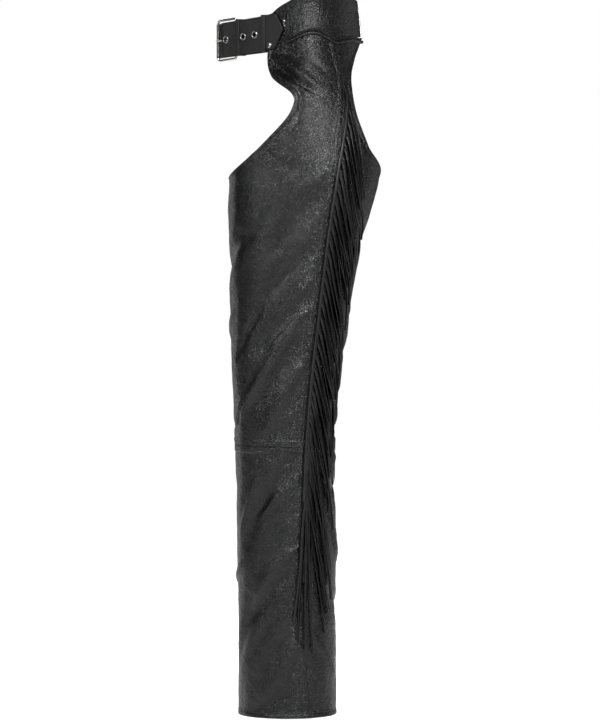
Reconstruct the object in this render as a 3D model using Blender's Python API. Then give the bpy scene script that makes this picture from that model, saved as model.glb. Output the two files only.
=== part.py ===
# Leather chaps with a buckled belt and fringed outseams, in metres, +Z up.
# The wearer faces -Y and the wearer's left is +X. The origin is the middle of the waist,
# at half the height of the yoke at the centre back.
# Every panel is a thin leather wall over one general body form, which is a row of ellipses.
# On that form an angle of 0 is the outer side of the leg, 90 the front and -90 the back.

import math
import random
from collections import namedtuple

import bmesh
import bpy
from mathutils import Matrix, Vector

# Leather and the gaps between the pieces
WALL = 0.0016
SEAM_GAP = 0.0003
HEM_RAISE = 0.0006
HEM_WIDTH = 0.009
BAND_WIDTH = 0.012
WELT_RAISE = 0.0014
WELT_HEIGHT = 0.006

# The leg, by the heights of its seams
HEM_HEIGHT = -1.0435
KNEE_HEIGHT = -0.639
YOKE_TOP = 0.033

# The body form: each row is an ellipse, with its own reach to the outside and to the inside
Section = namedtuple("Section", "height centre_y half_depth centre_x reach_out reach_in")
SECTIONS = [
    Section(-1.060, -0.0035, 0.0735, 0.1130, 0.0720, 0.0700),
    Section(-0.873, -0.0042, 0.0735, 0.1090, 0.0720, 0.0700),
    Section(-0.783, -0.0050, 0.0743, 0.1070, 0.0725, 0.0705),
    Section(-0.693, -0.0064, 0.0743, 0.1050, 0.0740, 0.0715),
    Section(-0.639, -0.0074, 0.0750, 0.1040, 0.0750, 0.0725),
    Section(-0.603, -0.0065, 0.0773, 0.1025, 0.0765, 0.0740),
    Section(-0.558, -0.0052, 0.0803, 0.1010, 0.0785, 0.0760),
    Section(-0.513, -0.0040, 0.0838, 0.0995, 0.0810, 0.0780),
    Section(-0.468, -0.0013, 0.0870, 0.0980, 0.0833, 0.0800),
    Section(-0.423, 0.0010, 0.0907, 0.0967, 0.0860, 0.0820),
    Section(-0.378, 0.0047, 0.0958, 0.0955, 0.0880, 0.0835),
    Section(-0.333, 0.0094, 0.1006, 0.0940, 0.0900, 0.0850),
    Section(-0.288, 0.0146, 0.1073, 0.0925, 0.0912, 0.0860),
    Section(-0.243, 0.0213, 0.1125, 0.0910, 0.0922, 0.0860),
    Section(-0.185, 0.0220, 0.1190, 0.0600, 0.1160, 0.0600),
    Section(-0.120, 0.0140, 0.1180, 0.0200, 0.1410, 0.0200),
    Section(-0.070, 0.0040, 0.1120, 0.0000, 0.1480, 0.0000),
    Section(-0.035, 0.0000, 0.1090, 0.0000, 0.1380, 0.0000),
    Section(0.050, 0.0000, 0.1000, 0.0000, 0.1290, 0.0000),
]

# The belt runs straight from the hip to the belly, and the leather above the hip follows it
BELT_START = Vector((0.135, 0.020, 0.0))
BELT_ALONG = Vector((-0.675, -0.738, 0.0)).normalized()
BELT_OUT = Vector((0.738, -0.675, 0.0)).normalized()
BELT_FLARE_FROM = -0.054
BELT_FLARE = 0.55
BELT_FLARE_GROWTH = 3.0
BELT_ROUNDING = 0.004
BELT_BACK_LIMIT = -60.0

# The outseam, as the angle it has at each height
SeamPoint = namedtuple("SeamPoint", "height angle")
OUTSEAM = [
    SeamPoint(-1.0435, -26.2),
    SeamPoint(-0.952, -22.4),
    SeamPoint(-0.864, -19.0),
    SeamPoint(-0.790, -17.1),
    SeamPoint(-0.718, -17.9),
    SeamPoint(-0.639, -21.3),
    SeamPoint(-0.575, -22.4),
    SeamPoint(-0.503, -24.4),
    SeamPoint(-0.410, -26.0),
    SeamPoint(-0.315, -24.6),
    SeamPoint(-0.237, -23.3),
    SeamPoint(-0.190, -26.1),
    SeamPoint(-0.151, -30.9),
    SeamPoint(-0.116, -35.6),
    SeamPoint(-0.088, -39.4),
    SeamPoint(-0.066, -39.6),
    SeamPoint(-0.040, -38.9),
]

# The lower edge of the yoke, where the leg panels hang, and its top edge
EdgePoint = namedtuple("EdgePoint", "angle height")
YOKE_LOW = [
    EdgePoint(-90.0, -0.0372),
    EdgePoint(-67.9, -0.0368),
    EdgePoint(-56.7, -0.0362),
    EdgePoint(-47.0, -0.0388),
    EdgePoint(-38.9, -0.0409),
    EdgePoint(-30.7, -0.0334),
    EdgePoint(-23.0, -0.0271),
    EdgePoint(-15.5, -0.0271),
    EdgePoint(-8.1, -0.0320),
    EdgePoint(1.5, -0.0395),
    EdgePoint(8.0, -0.0438),
    EdgePoint(17.6, -0.0475),
]
YOKE_HIGH = [
    EdgePoint(-90.0, 0.0240),
    EdgePoint(-70.0, 0.0290),
    EdgePoint(-50.0, 0.0322),
    EdgePoint(-36.0, YOKE_TOP),
    EdgePoint(-9.0, YOKE_TOP),
    EdgePoint(-5.0, 0.0300),
    EdgePoint(-0.3, 0.0244),
    EdgePoint(4.7, 0.0197),
    EdgePoint(9.7, 0.0140),
    EdgePoint(14.6, 0.0062),
    EdgePoint(17.6, 0.0045),
]
YOKE_CREASE_ANGLE = 2.2

# Rows of the thigh panels above the crotch, from the outseam to the open edge, bottom to top
PanelRow = namedtuple("PanelRow", "seam_height edge_height edge_angle")
FRONT_OPENING = [
    PanelRow(-0.292, -0.2620, 180.0),
    PanelRow(-0.275, -0.2520, 140.0),
    PanelRow(-0.259, -0.2445, 108.0),
    PanelRow(-0.243, -0.2375, 82.0),
    PanelRow(-0.224, -0.2205, 56.7),
    PanelRow(-0.204, -0.1983, 37.9),
    PanelRow(-0.184, -0.1760, 24.4),
    PanelRow(-0.165, -0.1538, 12.8),
    PanelRow(-0.148, -0.1374, 6.6),
    PanelRow(-0.130, -0.1207, 3.6),
    PanelRow(-0.118, -0.1093, 5.4),
    PanelRow(-0.107, -0.1009, 10.0),
    PanelRow(-0.096, -0.0937, 14.8),
    PanelRow(-0.085, -0.0857, 18.2),
    PanelRow(-0.073, -0.0740, 19.4),
    PanelRow(-0.058, -0.0600, 18.9),
    PanelRow(-0.041, -0.0475, 17.6),
]
BACK_OPENING = [
    PanelRow(-0.292, -0.2620, -180.0),
    PanelRow(-0.275, -0.2535, -140.0),
    PanelRow(-0.259, -0.2440, -112.0),
    PanelRow(-0.243, -0.2330, -92.0),
    PanelRow(-0.224, -0.2190, -74.0),
    PanelRow(-0.204, -0.2000, -56.8),
    PanelRow(-0.184, -0.1800, -49.6),
    PanelRow(-0.165, -0.1630, -46.0),
    PanelRow(-0.148, -0.1480, -43.8),
    PanelRow(-0.130, -0.1300, -43.0),
    PanelRow(-0.118, -0.1180, -43.2),
    PanelRow(-0.107, -0.1070, -44.2),
    PanelRow(-0.096, -0.0950, -46.0),
    PanelRow(-0.085, -0.0820, -49.4),
    PanelRow(-0.073, -0.0705, -54.2),
    PanelRow(-0.058, -0.0545, -62.1),
    PanelRow(-0.041, -0.0366, -74.5),
]
INSEAM_ROWS = 14
SHIN_ROWS = 15
FRONT_COLUMNS = 7
BACK_COLUMNS = 6
SHORTEST_ROW = 0.03

# Large folds: each runs from one point of the form to the next, out as a ridge or in as a trough
Fold = namedtuple("Fold", "from_angle from_height to_angle to_height width depth")
FOLDS = [
    Fold(4.8, -0.069, -7.3, -0.090, 0.008, 0.0030),
    Fold(9.0, -0.081, -5.0, -0.101, 0.007, -0.0020),
    Fold(30.0, -0.204, 14.0, -0.222, 0.008, -0.0015),
    Fold(-9.9, -0.273, 14.1, -0.337, 0.012, -0.0022),
    Fold(-9.1, -0.354, 24.2, -0.415, 0.013, -0.0026),
    Fold(-11.0, -0.424, 26.4, -0.484, 0.013, -0.0030),
    Fold(-6.4, -0.450, 17.0, -0.519, 0.012, 0.0024),
    Fold(17.0, -0.519, 55.0, -0.580, 0.012, 0.0024),
    Fold(-7.0, -0.487, 28.4, -0.563, 0.012, -0.0030),
    Fold(-10.0, -0.525, 5.1, -0.566, 0.012, 0.0022),
    Fold(5.1, -0.566, 20.1, -0.608, 0.012, 0.0022),
    Fold(-5.0, -0.663, 27.7, -0.718, 0.013, -0.0024),
    Fold(27.7, -0.718, 49.3, -0.778, 0.013, -0.0020),
    Fold(2.6, -0.800, 33.5, -0.856, 0.012, 0.0022),
    Fold(9.0, -0.838, 40.0, -0.886, 0.013, -0.0024),
    Fold(47.5, -0.874, 68.4, -0.937, 0.014, -0.0024),
    Fold(-6.0, -0.937, 26.1, -1.005, 0.013, 0.0024),
    Fold(60.0, -0.330, 110.0, -0.400, 0.016, -0.0026),
    Fold(110.0, -0.560, 165.0, -0.520, 0.014, -0.0026),
    Fold(100.0, -0.700, 160.0, -0.670, 0.014, -0.0024),
    Fold(-80.0, -0.320, -125.0, -0.380, 0.015, -0.0028),
    Fold(-78.0, -0.575, -140.0, -0.545, 0.014, -0.0030),
    Fold(-74.0, -0.620, -135.0, -0.605, 0.012, -0.0026),
    Fold(-74.0, -0.700, -130.0, -0.730, 0.014, -0.0028),
    Fold(-60.0, -0.860, -120.0, -0.905, 0.014, -0.0024),
]
FOLD_RADIUS = 0.085
FOLD_END = 0.020

# Fringe: two layers, each a narrow strip beside the outseam with its strands
FRINGE_TOP = -0.112
FRINGE_END = -0.722
STRIP_CLEARANCE = 0.0010
FRINGE_SPREAD_FROM = -36.0
FRINGE_SPREAD = 0.000045
BAND_CLEARANCE = 0.0012
HIP_CLEARANCE = 0.0034
HIP_HEIGHT = -0.200
HIP_SPAN = 0.060
STRIP_START = 0.0012
STRIP_WIDTH = 0.0065
STRAND_THICKNESS = 0.0012
LAYER_STEP = 0.0033
STRAND_WIDTH = 0.0032
ROOT_HEIGHT = 0.0060
STRAND_BEND = 0.0045
STRAND_BEND_DROP = 0.0027
STRAND_LOOK_AHEAD = 0.010
ROOT_LEAN_BACK = 1.1
LENGTH_SPREAD = (0.88, 1.10)
STRAND_STEPS = (0.0, 0.40, 0.73, 1.0)
HIP_STRAND_STEPS = (0.0, 0.18, 0.36, 0.54, 0.77, 1.0)
HIP_STRANDS_ABOVE = -0.310
STRAND_WRAP = 0.93
StrandStyle = namedtuple("StrandStyle", "height pitch tilt length")
STRANDS = [
    StrandStyle(-0.112, 0.0230, 8.8, 0.150),
    StrandStyle(-0.250, 0.0215, 9.8, 0.160),
    StrandStyle(-0.400, 0.0210, 11.2, 0.168),
    StrandStyle(-0.500, 0.0215, 11.8, 0.172),
    StrandStyle(-0.580, 0.0250, 10.8, 0.185),
    StrandStyle(-0.640, 0.0280, 10.2, 0.205),
    StrandStyle(-0.722, 0.0290, 10.0, 0.225),
]
FringeLayer = namedtuple("FringeLayer", "name start_drop extra_tilt last_tilt seed")
FRINGE_LAYERS = [
    FringeLayer("fringe_under", 0.0, -1.0, -3.6, 11),
    FringeLayer("fringe_over", 0.0105, 0.9, 2.6, 12),
]

# Belt: distances along it from the hip, and out from the leather of the yoke
BELT_HEIGHT = -0.0195
BELT_DROP = -0.106
BELT_DROP_FROM = 0.040
STRAP_THICKNESS = 0.0020
BUCKLE_STRAP_HALF = 0.0250
TONGUE_HALF = 0.0258
TONGUE_OUT = 0.0029
BAR_RUN = 0.1400
BAR_OUT = -0.0042
FRAME_FRONT_RUN = 0.1743
FRAME_FRONT_OUT = -0.0008
FRAME_HALF_HEIGHT = 0.0302
FRAME_CORNER = 0.0045
FRAME_BAR_RADIUS = 0.0018
PRONG_RADIUS = 0.0013
BELLY_FRONT = -0.1105
BELLY_CORNER = Vector((-0.012, 0.003, 0.0))
TONGUE_RIGHT_RUNS = (0.150, 0.120, 0.085, 0.058, 0.0378)
TONGUE_RISES = (-TONGUE_HALF, -0.0145, 0.0015, TONGUE_HALF)
TONGUE_PULLS = ((0.0190, 0.0190), (0.0100, 0.0100), (0.0, 0.0), (0.0142, 0.0142))
StrapPoint = namedtuple("StrapPoint", "run out")
TONGUE_PATH = [
    StrapPoint(0.0378, TONGUE_OUT),
    StrapPoint(0.0580, TONGUE_OUT),
    StrapPoint(0.0955, TONGUE_OUT),
    StrapPoint(0.1187, TONGUE_OUT),
    StrapPoint(0.1480, TONGUE_OUT),
    StrapPoint(0.1620, 0.0033),
    StrapPoint(0.1665, 0.0002),
    StrapPoint(0.1718, -0.0042),
    StrapPoint(0.1765, -0.0050),
]
TONGUE_SLOT_RUN = 0.1666
TONGUE_SLOT = (0.0092, 0.0120, 0.0046)
BUCKLE_STRAP_THICKNESS = 0.0018
BUCKLE_STRAP_FACE = [
    StrapPoint(0.0460, -0.0033),
    StrapPoint(0.0700, -0.0029),
    StrapPoint(0.1000, -0.0027),
    StrapPoint(0.1280, -0.0019),
]
BUCKLE_STRAP_BACK = [
    StrapPoint(0.1280, -0.0054),
    StrapPoint(0.1040, -0.0051),
]
BUCKLE_STRAP_TURN = FRAME_BAR_RADIUS + SEAM_GAP + 0.0010
BUCKLE_STRAP_STEPS = 6
PRONG_SLOT_PLACE = StrapPoint(0.1420, -0.0051)
PRONG_SLOT = (0.0150, 0.0240, 0.0056)
PRONG_LINE = [
    StrapPoint(0.1761, 0.0028),
    StrapPoint(0.1703, 0.0014),
    StrapPoint(0.1643, -0.0003),
]
PRONG_TURN_START = 18
PRONG_TURN = 250
PRONG_STEPS = 7

# Small metal
EYELET_RING = 0.0043
EYELET_TUBE = 0.00145
EYELET_FLATTEN = 0.5
EYELET_HOLE = 0.0026
EYELET_HOLE_DEPTH = 0.008
EYELET_RUNS = [0.0955, 0.1187, 0.1542]
STUD_RUN = 0.0644
STUD_DROP = -0.0195
STUD_RADIUS = 0.0040
STUD_DOME = 0.0014
CREASE_EYELET_ANGLE = 3.6
CREASE_EYELET_HEIGHT = -0.0088
CREASE_EYELET_NARROW = 0.3
Keeper = namedtuple("Keeper", "name run width slant inner_out")
KEEPERS = [
    Keeper("keeper_front", 0.1291, 0.0068, -0.04, -0.0081),
    Keeper("keeper_rear", 0.0771, 0.0088, 0.0, -0.0043),
]
KEEPER_HALF = 0.0263
KEEPER_THICKNESS = 0.0013

SIDES = {"left": 1.0, "right": -1.0}


def clear_scene():
    for thing in list(bpy.data.objects):
        bpy.data.objects.remove(thing, do_unlink=True)


def new_collection(name):
    collection = bpy.data.collections.new(name)
    bpy.context.scene.collection.children.link(collection)
    return collection


def make_material(name, colour, roughness, metallic):
    material = bpy.data.materials.new(name)
    material.use_nodes = True
    shader = material.node_tree.nodes["Principled BSDF"]
    shader.inputs["Base Color"].default_value = (*colour, 1.0)
    shader.inputs["Roughness"].default_value = roughness
    shader.inputs["Metallic"].default_value = metallic
    return material


def read_table(rows, key, value, place):
    # straight interpolation along one column of a table, by another
    ordered = sorted(rows, key=lambda row: getattr(row, key))
    if place <= getattr(ordered[0], key):
        return getattr(ordered[0], value)
    for low, high in zip(ordered, ordered[1:]):
        if place <= getattr(high, key):
            share = (place - getattr(low, key)) / (getattr(high, key) - getattr(low, key))
            return getattr(low, value) + share * (getattr(high, value) - getattr(low, value))
    return getattr(ordered[-1], value)


def section_at(height):
    # a smooth curve through the table of ellipses
    if height <= SECTIONS[0].height:
        return SECTIONS[0]
    if height >= SECTIONS[-1].height:
        return SECTIONS[-1]
    last = len(SECTIONS) - 1
    index = max(i for i in range(last) if SECTIONS[i].height <= height)
    low, high = SECTIONS[index], SECTIONS[index + 1]
    before, after = SECTIONS[max(index - 1, 0)], SECTIONS[min(index + 2, last)]
    step = high.height - low.height
    t = (height - low.height) / step
    values = [height]
    for column in range(1, len(low)):
        lead = (high[column] - before[column]) / (high.height - before.height)
        trail = (after[column] - low[column]) / (after.height - low.height)
        value = (2 * t ** 3 - 3 * t ** 2 + 1) * low[column] + (t ** 3 - 2 * t ** 2 + t) * step * lead
        value += (3 * t ** 2 - 2 * t ** 3) * high[column] + (t ** 3 - t ** 2) * step * trail
        values.append(value)
    return Section(*values)


def form_point(angle, height):
    row = section_at(height)
    turn = math.radians(angle)
    y = row.centre_y - row.half_depth * math.sin(turn)
    side = math.cos(turn)
    x = row.centre_x + (row.reach_out if side > 0 else row.reach_in) * side
    if side > 0 and angle > BELT_BACK_LIMIT:
        below = max(0.0, BELT_FLARE_FROM - height)
        straight = BELT_START.x + (y - BELT_START.y) * BELT_ALONG.x / BELT_ALONG.y
        straight += BELT_FLARE * below + BELT_FLARE_GROWTH * below ** 2
        x = (x + straight) / 2 - math.hypot((x - straight) / 2, BELT_ROUNDING)
    return Vector((x, y, height))


def form_normal(angle, height):
    along = form_point(angle + 0.5, height) - form_point(angle - 0.5, height)
    up = form_point(angle, height + 0.001) - form_point(angle, height - 0.001)
    return up.cross(along).normalized() if along.length > 0 else Vector((1, 0, 0))


def fold_depth(angle, height):
    # how far the folds move the leather out (+) or in (-) at one place
    depth = 0.0
    here = Vector((math.radians(angle) * FOLD_RADIUS, height))
    for fold in FOLDS:
        start = Vector((math.radians(fold.from_angle) * FOLD_RADIUS, fold.from_height))
        end = Vector((math.radians(fold.to_angle) * FOLD_RADIUS, fold.to_height))
        line = end - start
        along = (here - start).dot(line) / line.length_squared
        nearest = start + line * min(1.0, max(0.0, along))
        beyond = max(0.0, along - 1.0, -along) * line.length
        apart = (here - nearest).length
        side = math.sqrt(max(0.0, apart ** 2 - beyond ** 2))
        depth += fold.depth * math.exp(-(side / fold.width) ** 2 - (beyond / FOLD_END) ** 2)
    return depth


def leather_point(angle, height, out):
    return form_point(angle, height) + form_normal(angle, height) * (out + fold_depth(angle, height))


def gap_angle(angle, height, distance):
    # the angle that a distance along the leather takes up
    row = section_at(height)
    turn = math.radians(angle)
    reach = row.reach_out if math.cos(turn) > 0 else row.reach_in
    radius = math.hypot(row.half_depth * math.cos(turn), reach * math.sin(turn))
    return math.degrees(distance / radius)


def outseam_angle(height):
    return read_table(OUTSEAM, "height", "angle", height)


def yoke_low(angle):
    return read_table(YOKE_LOW, "angle", "height", angle)


def yoke_high(angle):
    return read_table(YOKE_HIGH, "angle", "height", angle)


def finish_mesh(name, points, faces, material, collection, side=1.0):
    mesh = bpy.data.meshes.new(name)
    mesh.from_pydata([(p.x * side, p.y, p.z) for p in points], [], faces)
    work = bmesh.new()
    work.from_mesh(mesh)
    bmesh.ops.recalc_face_normals(work, faces=work.faces)
    work.to_mesh(mesh)
    work.free()
    mesh.materials.append(material)
    mesh.shade_smooth()
    thing = bpy.data.objects.new(name, mesh)
    collection.objects.link(thing)
    mesh.set_sharp_from_angle(angle=math.radians(40))
    return thing


def wall(name, outer, inner, material, collection, side=1.0):
    # a closed wall between two grids of points, with a rim all round
    rows, columns = len(outer), len(outer[0])
    points = [p for row in outer for p in row] + [p for row in inner for p in row]
    size = rows * columns
    faces = []
    for r in range(rows - 1):
        for c in range(columns - 1):
            # both faces of the wall are split along the same diagonal
            corner = r * columns + c
            across = corner + columns + 1
            for triangle in ((corner, corner + 1, across), (corner, across, corner + columns)):
                faces.append(triangle)
                faces.append(tuple(size + index for index in reversed(triangle)))
    border = [c for c in range(columns)]
    border += [r * columns + columns - 1 for r in range(1, rows)]
    border += [(rows - 1) * columns + c for c in range(columns - 2, -1, -1)]
    border += [r * columns for r in range(rows - 2, 0, -1)]
    for here, there in zip(border, border[1:] + border[:1]):
        faces.append((there, here, size + here, size + there))
    return finish_mesh(name, points, faces, material, collection, side)


def loft(name, rings, material, collection, side=1.0, closed=False):
    # a solid through rings of points, with flat ends or joined to its own start
    count = len(rings[0])
    points = [p for ring in rings for p in ring]
    faces = []
    spans = len(rings) if closed else len(rings) - 1
    for r in range(spans):
        below, above = r * count, (r + 1) % len(rings) * count
        for c in range(count):
            turn = (c + 1) % count
            faces.append((below + c, below + turn, above + turn, above + c))
    if not closed:
        faces.append(tuple(range(count)))
        faces.append(tuple(len(points) - count + c for c in range(count)))
    return finish_mesh(name, points, faces, material, collection, side)


def column_shares(length, first, last, middle):
    # shares of a row: the seam, the end of its band, even columns, the start of the hem, the edge
    start, end = first / length, 1.0 - last / length
    return [0.0] + [start + (end - start) * i / middle for i in range(middle + 1)] + [1.0]


def panel_grid(rows, first, middle, direction, top_edge=None):
    # rows run from the outseam to the edge; the last row can follow the lower edge of the yoke
    grid = []
    for number, row in enumerate(rows):
        half_gap = gap_angle(outseam_angle(row.seam_height), row.seam_height, SEAM_GAP / 2)
        seam_angle = outseam_angle(row.seam_height) + direction * half_gap
        edge_angle = row.edge_angle
        if abs(edge_angle) == 180.0:
            edge_angle -= direction * gap_angle(180.0, row.edge_height, SEAM_GAP / 2)
        length = math.radians(abs(edge_angle - seam_angle)) * FOLD_RADIUS
        points = []
        for share in column_shares(max(length, SHORTEST_ROW), first, HEM_WIDTH, middle):
            angle = seam_angle + share * (edge_angle - seam_angle)
            height = row.seam_height + share * (row.edge_height - row.seam_height)
            if top_edge and number == len(rows) - 1:
                height = top_edge(angle) - SEAM_GAP
            points.append((angle, height))
        grid.append(points)
    return grid


def panel(name, grid, raised_columns, raised_rows, material, collection, side):
    outer, inner = [], []
    for number, row in enumerate(grid):
        outer_row, inner_row = [], []
        for column, (angle, height) in enumerate(row):
            raised = column in raised_columns or column - len(row) in raised_columns
            raised = raised or number in raised_rows or number - len(grid) in raised_rows
            out = HEM_RAISE if raised else 0.0
            outer_row.append(leather_point(angle, height, out))
            inner_row.append(leather_point(angle, height, -WALL))
        outer.append(outer_row)
        inner.append(inner_row)
    return wall(name, outer, inner, material, collection, side)


def even_rows(low, high, count, edge_low, edge_high, edge_angle):
    rows = []
    for i in range(count):
        share = i / (count - 1)
        seam_height = low + share * (high - low)
        edge_height = edge_low + share * (edge_high - edge_low)
        rows.append(PanelRow(seam_height, edge_height, edge_angle))
    return rows


def build_leg(side_name, leather, collection):
    side = SIDES[side_name]
    above_knee, below_knee = KNEE_HEIGHT + SEAM_GAP / 2, KNEE_HEIGHT - SEAM_GAP / 2
    plans = [
        ("front", FRONT_OPENING, 1.0, BAND_WIDTH, FRONT_COLUMNS, 180.0, (0, 1)),
        ("back", BACK_OPENING, -1.0, BAND_WIDTH, BACK_COLUMNS, -180.0, ()),
    ]
    tops = []
    for half, opening, direction, first, middle, inseam, band in plans:
        crotch = opening[0]
        rows = even_rows(above_knee, crotch.seam_height, INSEAM_ROWS, above_knee, crotch.edge_height, inseam)
        rows = rows[:-1] + opening
        grid = panel_grid(rows, first, middle, direction, yoke_low)
        hem_columns = band + (-1,)
        panel(f"{side_name}_{half}_thigh", grid, hem_columns, (), leather, collection, side)
        tops.append([angle for angle, height in grid[-1]])
        shin_rows = even_rows(HEM_HEIGHT, below_knee, SHIN_ROWS, HEM_HEIGHT, below_knee, inseam)
        shin_rows.insert(1, PanelRow(HEM_HEIGHT + HEM_WIDTH, HEM_HEIGHT + HEM_WIDTH, inseam))
        shin = panel_grid(shin_rows, first, middle, direction)
        lower = "shin" if half == "front" else "calf"
        panel(f"{side_name}_{half}_{lower}", shin, band, (0,), leather, collection, side)
    return tops


def build_yoke(side_name, tops, leather, collection):
    # its lower edge has the points of the leg panels' top rows
    front, back = tops
    last = back[-1]
    centre = -90.0 + gap_angle(-90.0, 0.0, SEAM_GAP / 2)
    angles = [centre, centre + (last - centre) * 0.5] + list(reversed(back)) + front[1:]
    outer, inner = [], []
    for number in range(5):
        outer_row, inner_row = [], []
        for angle in angles:
            low, high = yoke_low(angle), yoke_high(angle)
            heights = [low, low + WELT_HEIGHT, (low + high) / 2, high - WELT_HEIGHT, high]
            height = heights[number]
            raise_by = {0: WELT_RAISE, 1: WELT_RAISE, 4: HEM_RAISE}.get(number, 0.0)
            if angle < YOKE_CREASE_ANGLE:
                raise_by = max(raise_by, HEM_RAISE)
            outer_row.append(form_point(angle, height) + form_normal(angle, height) * raise_by)
            inner_row.append(form_point(angle, height) - form_normal(angle, height) * WALL)
        outer.append(outer_row)
        inner.append(inner_row)
    return wall(f"{side_name}_yoke", outer, inner, leather, collection, SIDES[side_name])


def fringe_place(y, height, out):
    # a place over the back panel by its depth, with the directions out and towards the back
    row = section_at(height)
    sine = (row.centre_y - y) / row.half_depth
    kept = max(sine, -STRAND_WRAP)
    angle = math.degrees(math.asin(kept))
    out += max(0.0, FRINGE_SPREAD_FROM - angle) * FRINGE_SPREAD
    out += HIP_CLEARANCE * math.exp(-((height - HIP_HEIGHT) / HIP_SPAN) ** 2)
    if angle > outseam_angle(height) - gap_angle(angle, height, STRIP_START):
        out += BAND_CLEARANCE
    normal = form_normal(angle, height)
    backward = (form_point(angle - 0.5, height) - form_point(angle + 0.5, height)).normalized()
    beyond = (kept - sine) * row.half_depth / max(backward.y, 0.1)
    return form_point(angle, height) + normal * out + backward * beyond, normal, backward


def strand_rings(root_y, root_height, tilt, length, out):
    # a flat strand leaves the strip backwards, bends down and follows the leg
    lean = math.radians(tilt)
    rings = []
    for share in HIP_STRAND_STEPS if root_height > HIP_STRANDS_ABOVE else STRAND_STEPS:
        run = (length - STRAND_BEND) * share
        y = root_y + STRAND_BEND + math.sin(lean) * run
        height = root_height - STRAND_BEND_DROP - math.cos(lean) * run
        place, normal, backward = fringe_place(y, height, out)
        ahead_y = y + math.sin(lean) * STRAND_LOOK_AHEAD
        ahead_height = height - math.cos(lean) * STRAND_LOOK_AHEAD
        ahead = fringe_place(ahead_y, ahead_height, out)[0]
        along = (ahead - place).normalized()
        if share == 0:
            along = (along + backward * ROOT_LEAN_BACK).normalized()
        across = normal.cross(along).normalized()
        half = STRAND_WIDTH / 2
        thick = normal * STRAND_THICKNESS
        rings.append([place + across * half, place + across * half + thick,
                      place - across * half + thick, place - across * half])
    return rings


def strip_ring(height, out):
    # four corners of the backing strip at one height: inner and outer, beside the seam and behind
    seam = outseam_angle(height)
    corners = []
    for distance, lift in ((STRIP_START, 0), (STRIP_START, 1), (STRIP_START + STRIP_WIDTH, 1),
                           (STRIP_START + STRIP_WIDTH, 0)):
        angle = seam - gap_angle(seam, height, distance)
        raised = out + lift * STRAND_THICKNESS
        corners.append(form_point(angle, height) + form_normal(angle, height) * raised)
    return corners


def build_fringe(side_name, layer, number, leather, collection):
    # one comb: the face of the strip opens into a strand at each root
    chance = random.Random(layer.seed)
    out = STRIP_CLEARANCE + number * LAYER_STEP
    roots = []
    height = FRINGE_TOP - layer.start_drop
    while height > FRINGE_END:
        roots.append(height)
        height -= read_table(STRANDS, "height", "pitch", height)
    points, faces = [], []
    stations = []
    for root in roots:
        stations += [root + ROOT_HEIGHT / 2, root - ROOT_HEIGHT / 2]
    for station in stations:
        points += strip_ring(station, out)
    for number_of, station in enumerate(stations[:-1]):
        below = number_of * 4
        for corner in range(4):
            turn = (corner + 1) % 4
            if corner == 2 and number_of % 2 == 0:
                continue
            faces.append((below + corner, below + turn, below + 4 + turn, below + 4 + corner))
    faces.append((0, 1, 2, 3))
    end = len(stations) * 4 - 4
    faces.append((end + 3, end + 2, end + 1, end))
    for count, root in enumerate(roots):
        tilt = read_table(STRANDS, "height", "tilt", root) + layer.extra_tilt
        length = read_table(STRANDS, "height", "length", root) * chance.uniform(*LENGTH_SPREAD)
        if count == len(roots) - 1:
            tilt = layer.last_tilt
        base = count * 8
        loop = [base + 3, base + 2, base + 6, base + 7]
        back = (points[base + 2] + points[base + 6]) / 2
        for ring in strand_rings(back.y, root, tilt, length, out):
            start = len(points)
            points += ring
            fresh = [start, start + 1, start + 2, start + 3]
            for corner in range(4):
                turn = (corner + 1) % 4
                faces.append((loop[corner], loop[turn], fresh[turn], fresh[corner]))
            loop = fresh
        faces.append(tuple(reversed(loop)))
    return finish_mesh(f"{side_name}_{layer.name}", points, faces, leather, collection, SIDES[side_name])


def belt_point(run, out, rise=0.0):
    height = BELT_HEIGHT + BELT_DROP * (run - BELT_DROP_FROM) + rise
    place = BELT_START + BELT_ALONG * run + BELT_OUT * out
    return Vector((place.x, place.y, height))


def mirrored(point):
    return Vector((-point.x, point.y, point.z))


def strap(name, centre_line, rises, thickness, ends, material, collection):
    # a flat strap along a line of points; ends gives each row its own pull back at both ends
    outer, inner = [], []
    count = len(centre_line)
    for rise, (start_pull, end_pull) in zip(rises, ends):
        outer_row, inner_row = [], []
        for i, point in enumerate(centre_line):
            before, after = centre_line[max(i - 1, 0)], centre_line[min(i + 1, count - 1)]
            along = Vector((after.x - before.x, after.y - before.y, 0.0)).normalized()
            aside = Vector((along.y, -along.x, 0.0))
            here = point.copy()
            if i == 0:
                here += along * start_pull
            if i == count - 1:
                here -= along * end_pull
            here.z += rise
            outer_row.append(here + aside * thickness / 2)
            inner_row.append(here - aside * thickness / 2)
        outer.append(outer_row)
        inner.append(inner_row)
    return wall(name, outer, inner, material, collection)


def build_buckle_strap(leather, collection, cutters):
    # it lies inside the yoke's front end, turns round the frame's bar and comes back
    line = [belt_point(*row) for row in BUCKLE_STRAP_FACE]
    for step in range(BUCKLE_STRAP_STEPS + 1):
        turn = math.pi * step / BUCKLE_STRAP_STEPS
        run = BAR_RUN + BUCKLE_STRAP_TURN * math.sin(turn)
        line.append(belt_point(run, BAR_OUT + BUCKLE_STRAP_TURN * math.cos(turn)))
    line += [belt_point(*row) for row in BUCKLE_STRAP_BACK]
    rises = (-BUCKLE_STRAP_HALF, BUCKLE_STRAP_HALF)
    square_ends = ((0, 0), (0, 0))
    thing = strap("buckle_strap", line, rises, BUCKLE_STRAP_THICKNESS, square_ends, leather, collection)
    cut(thing, box("prong_slot", belt_point(*PRONG_SLOT_PLACE), PRONG_SLOT, cutters))


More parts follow.
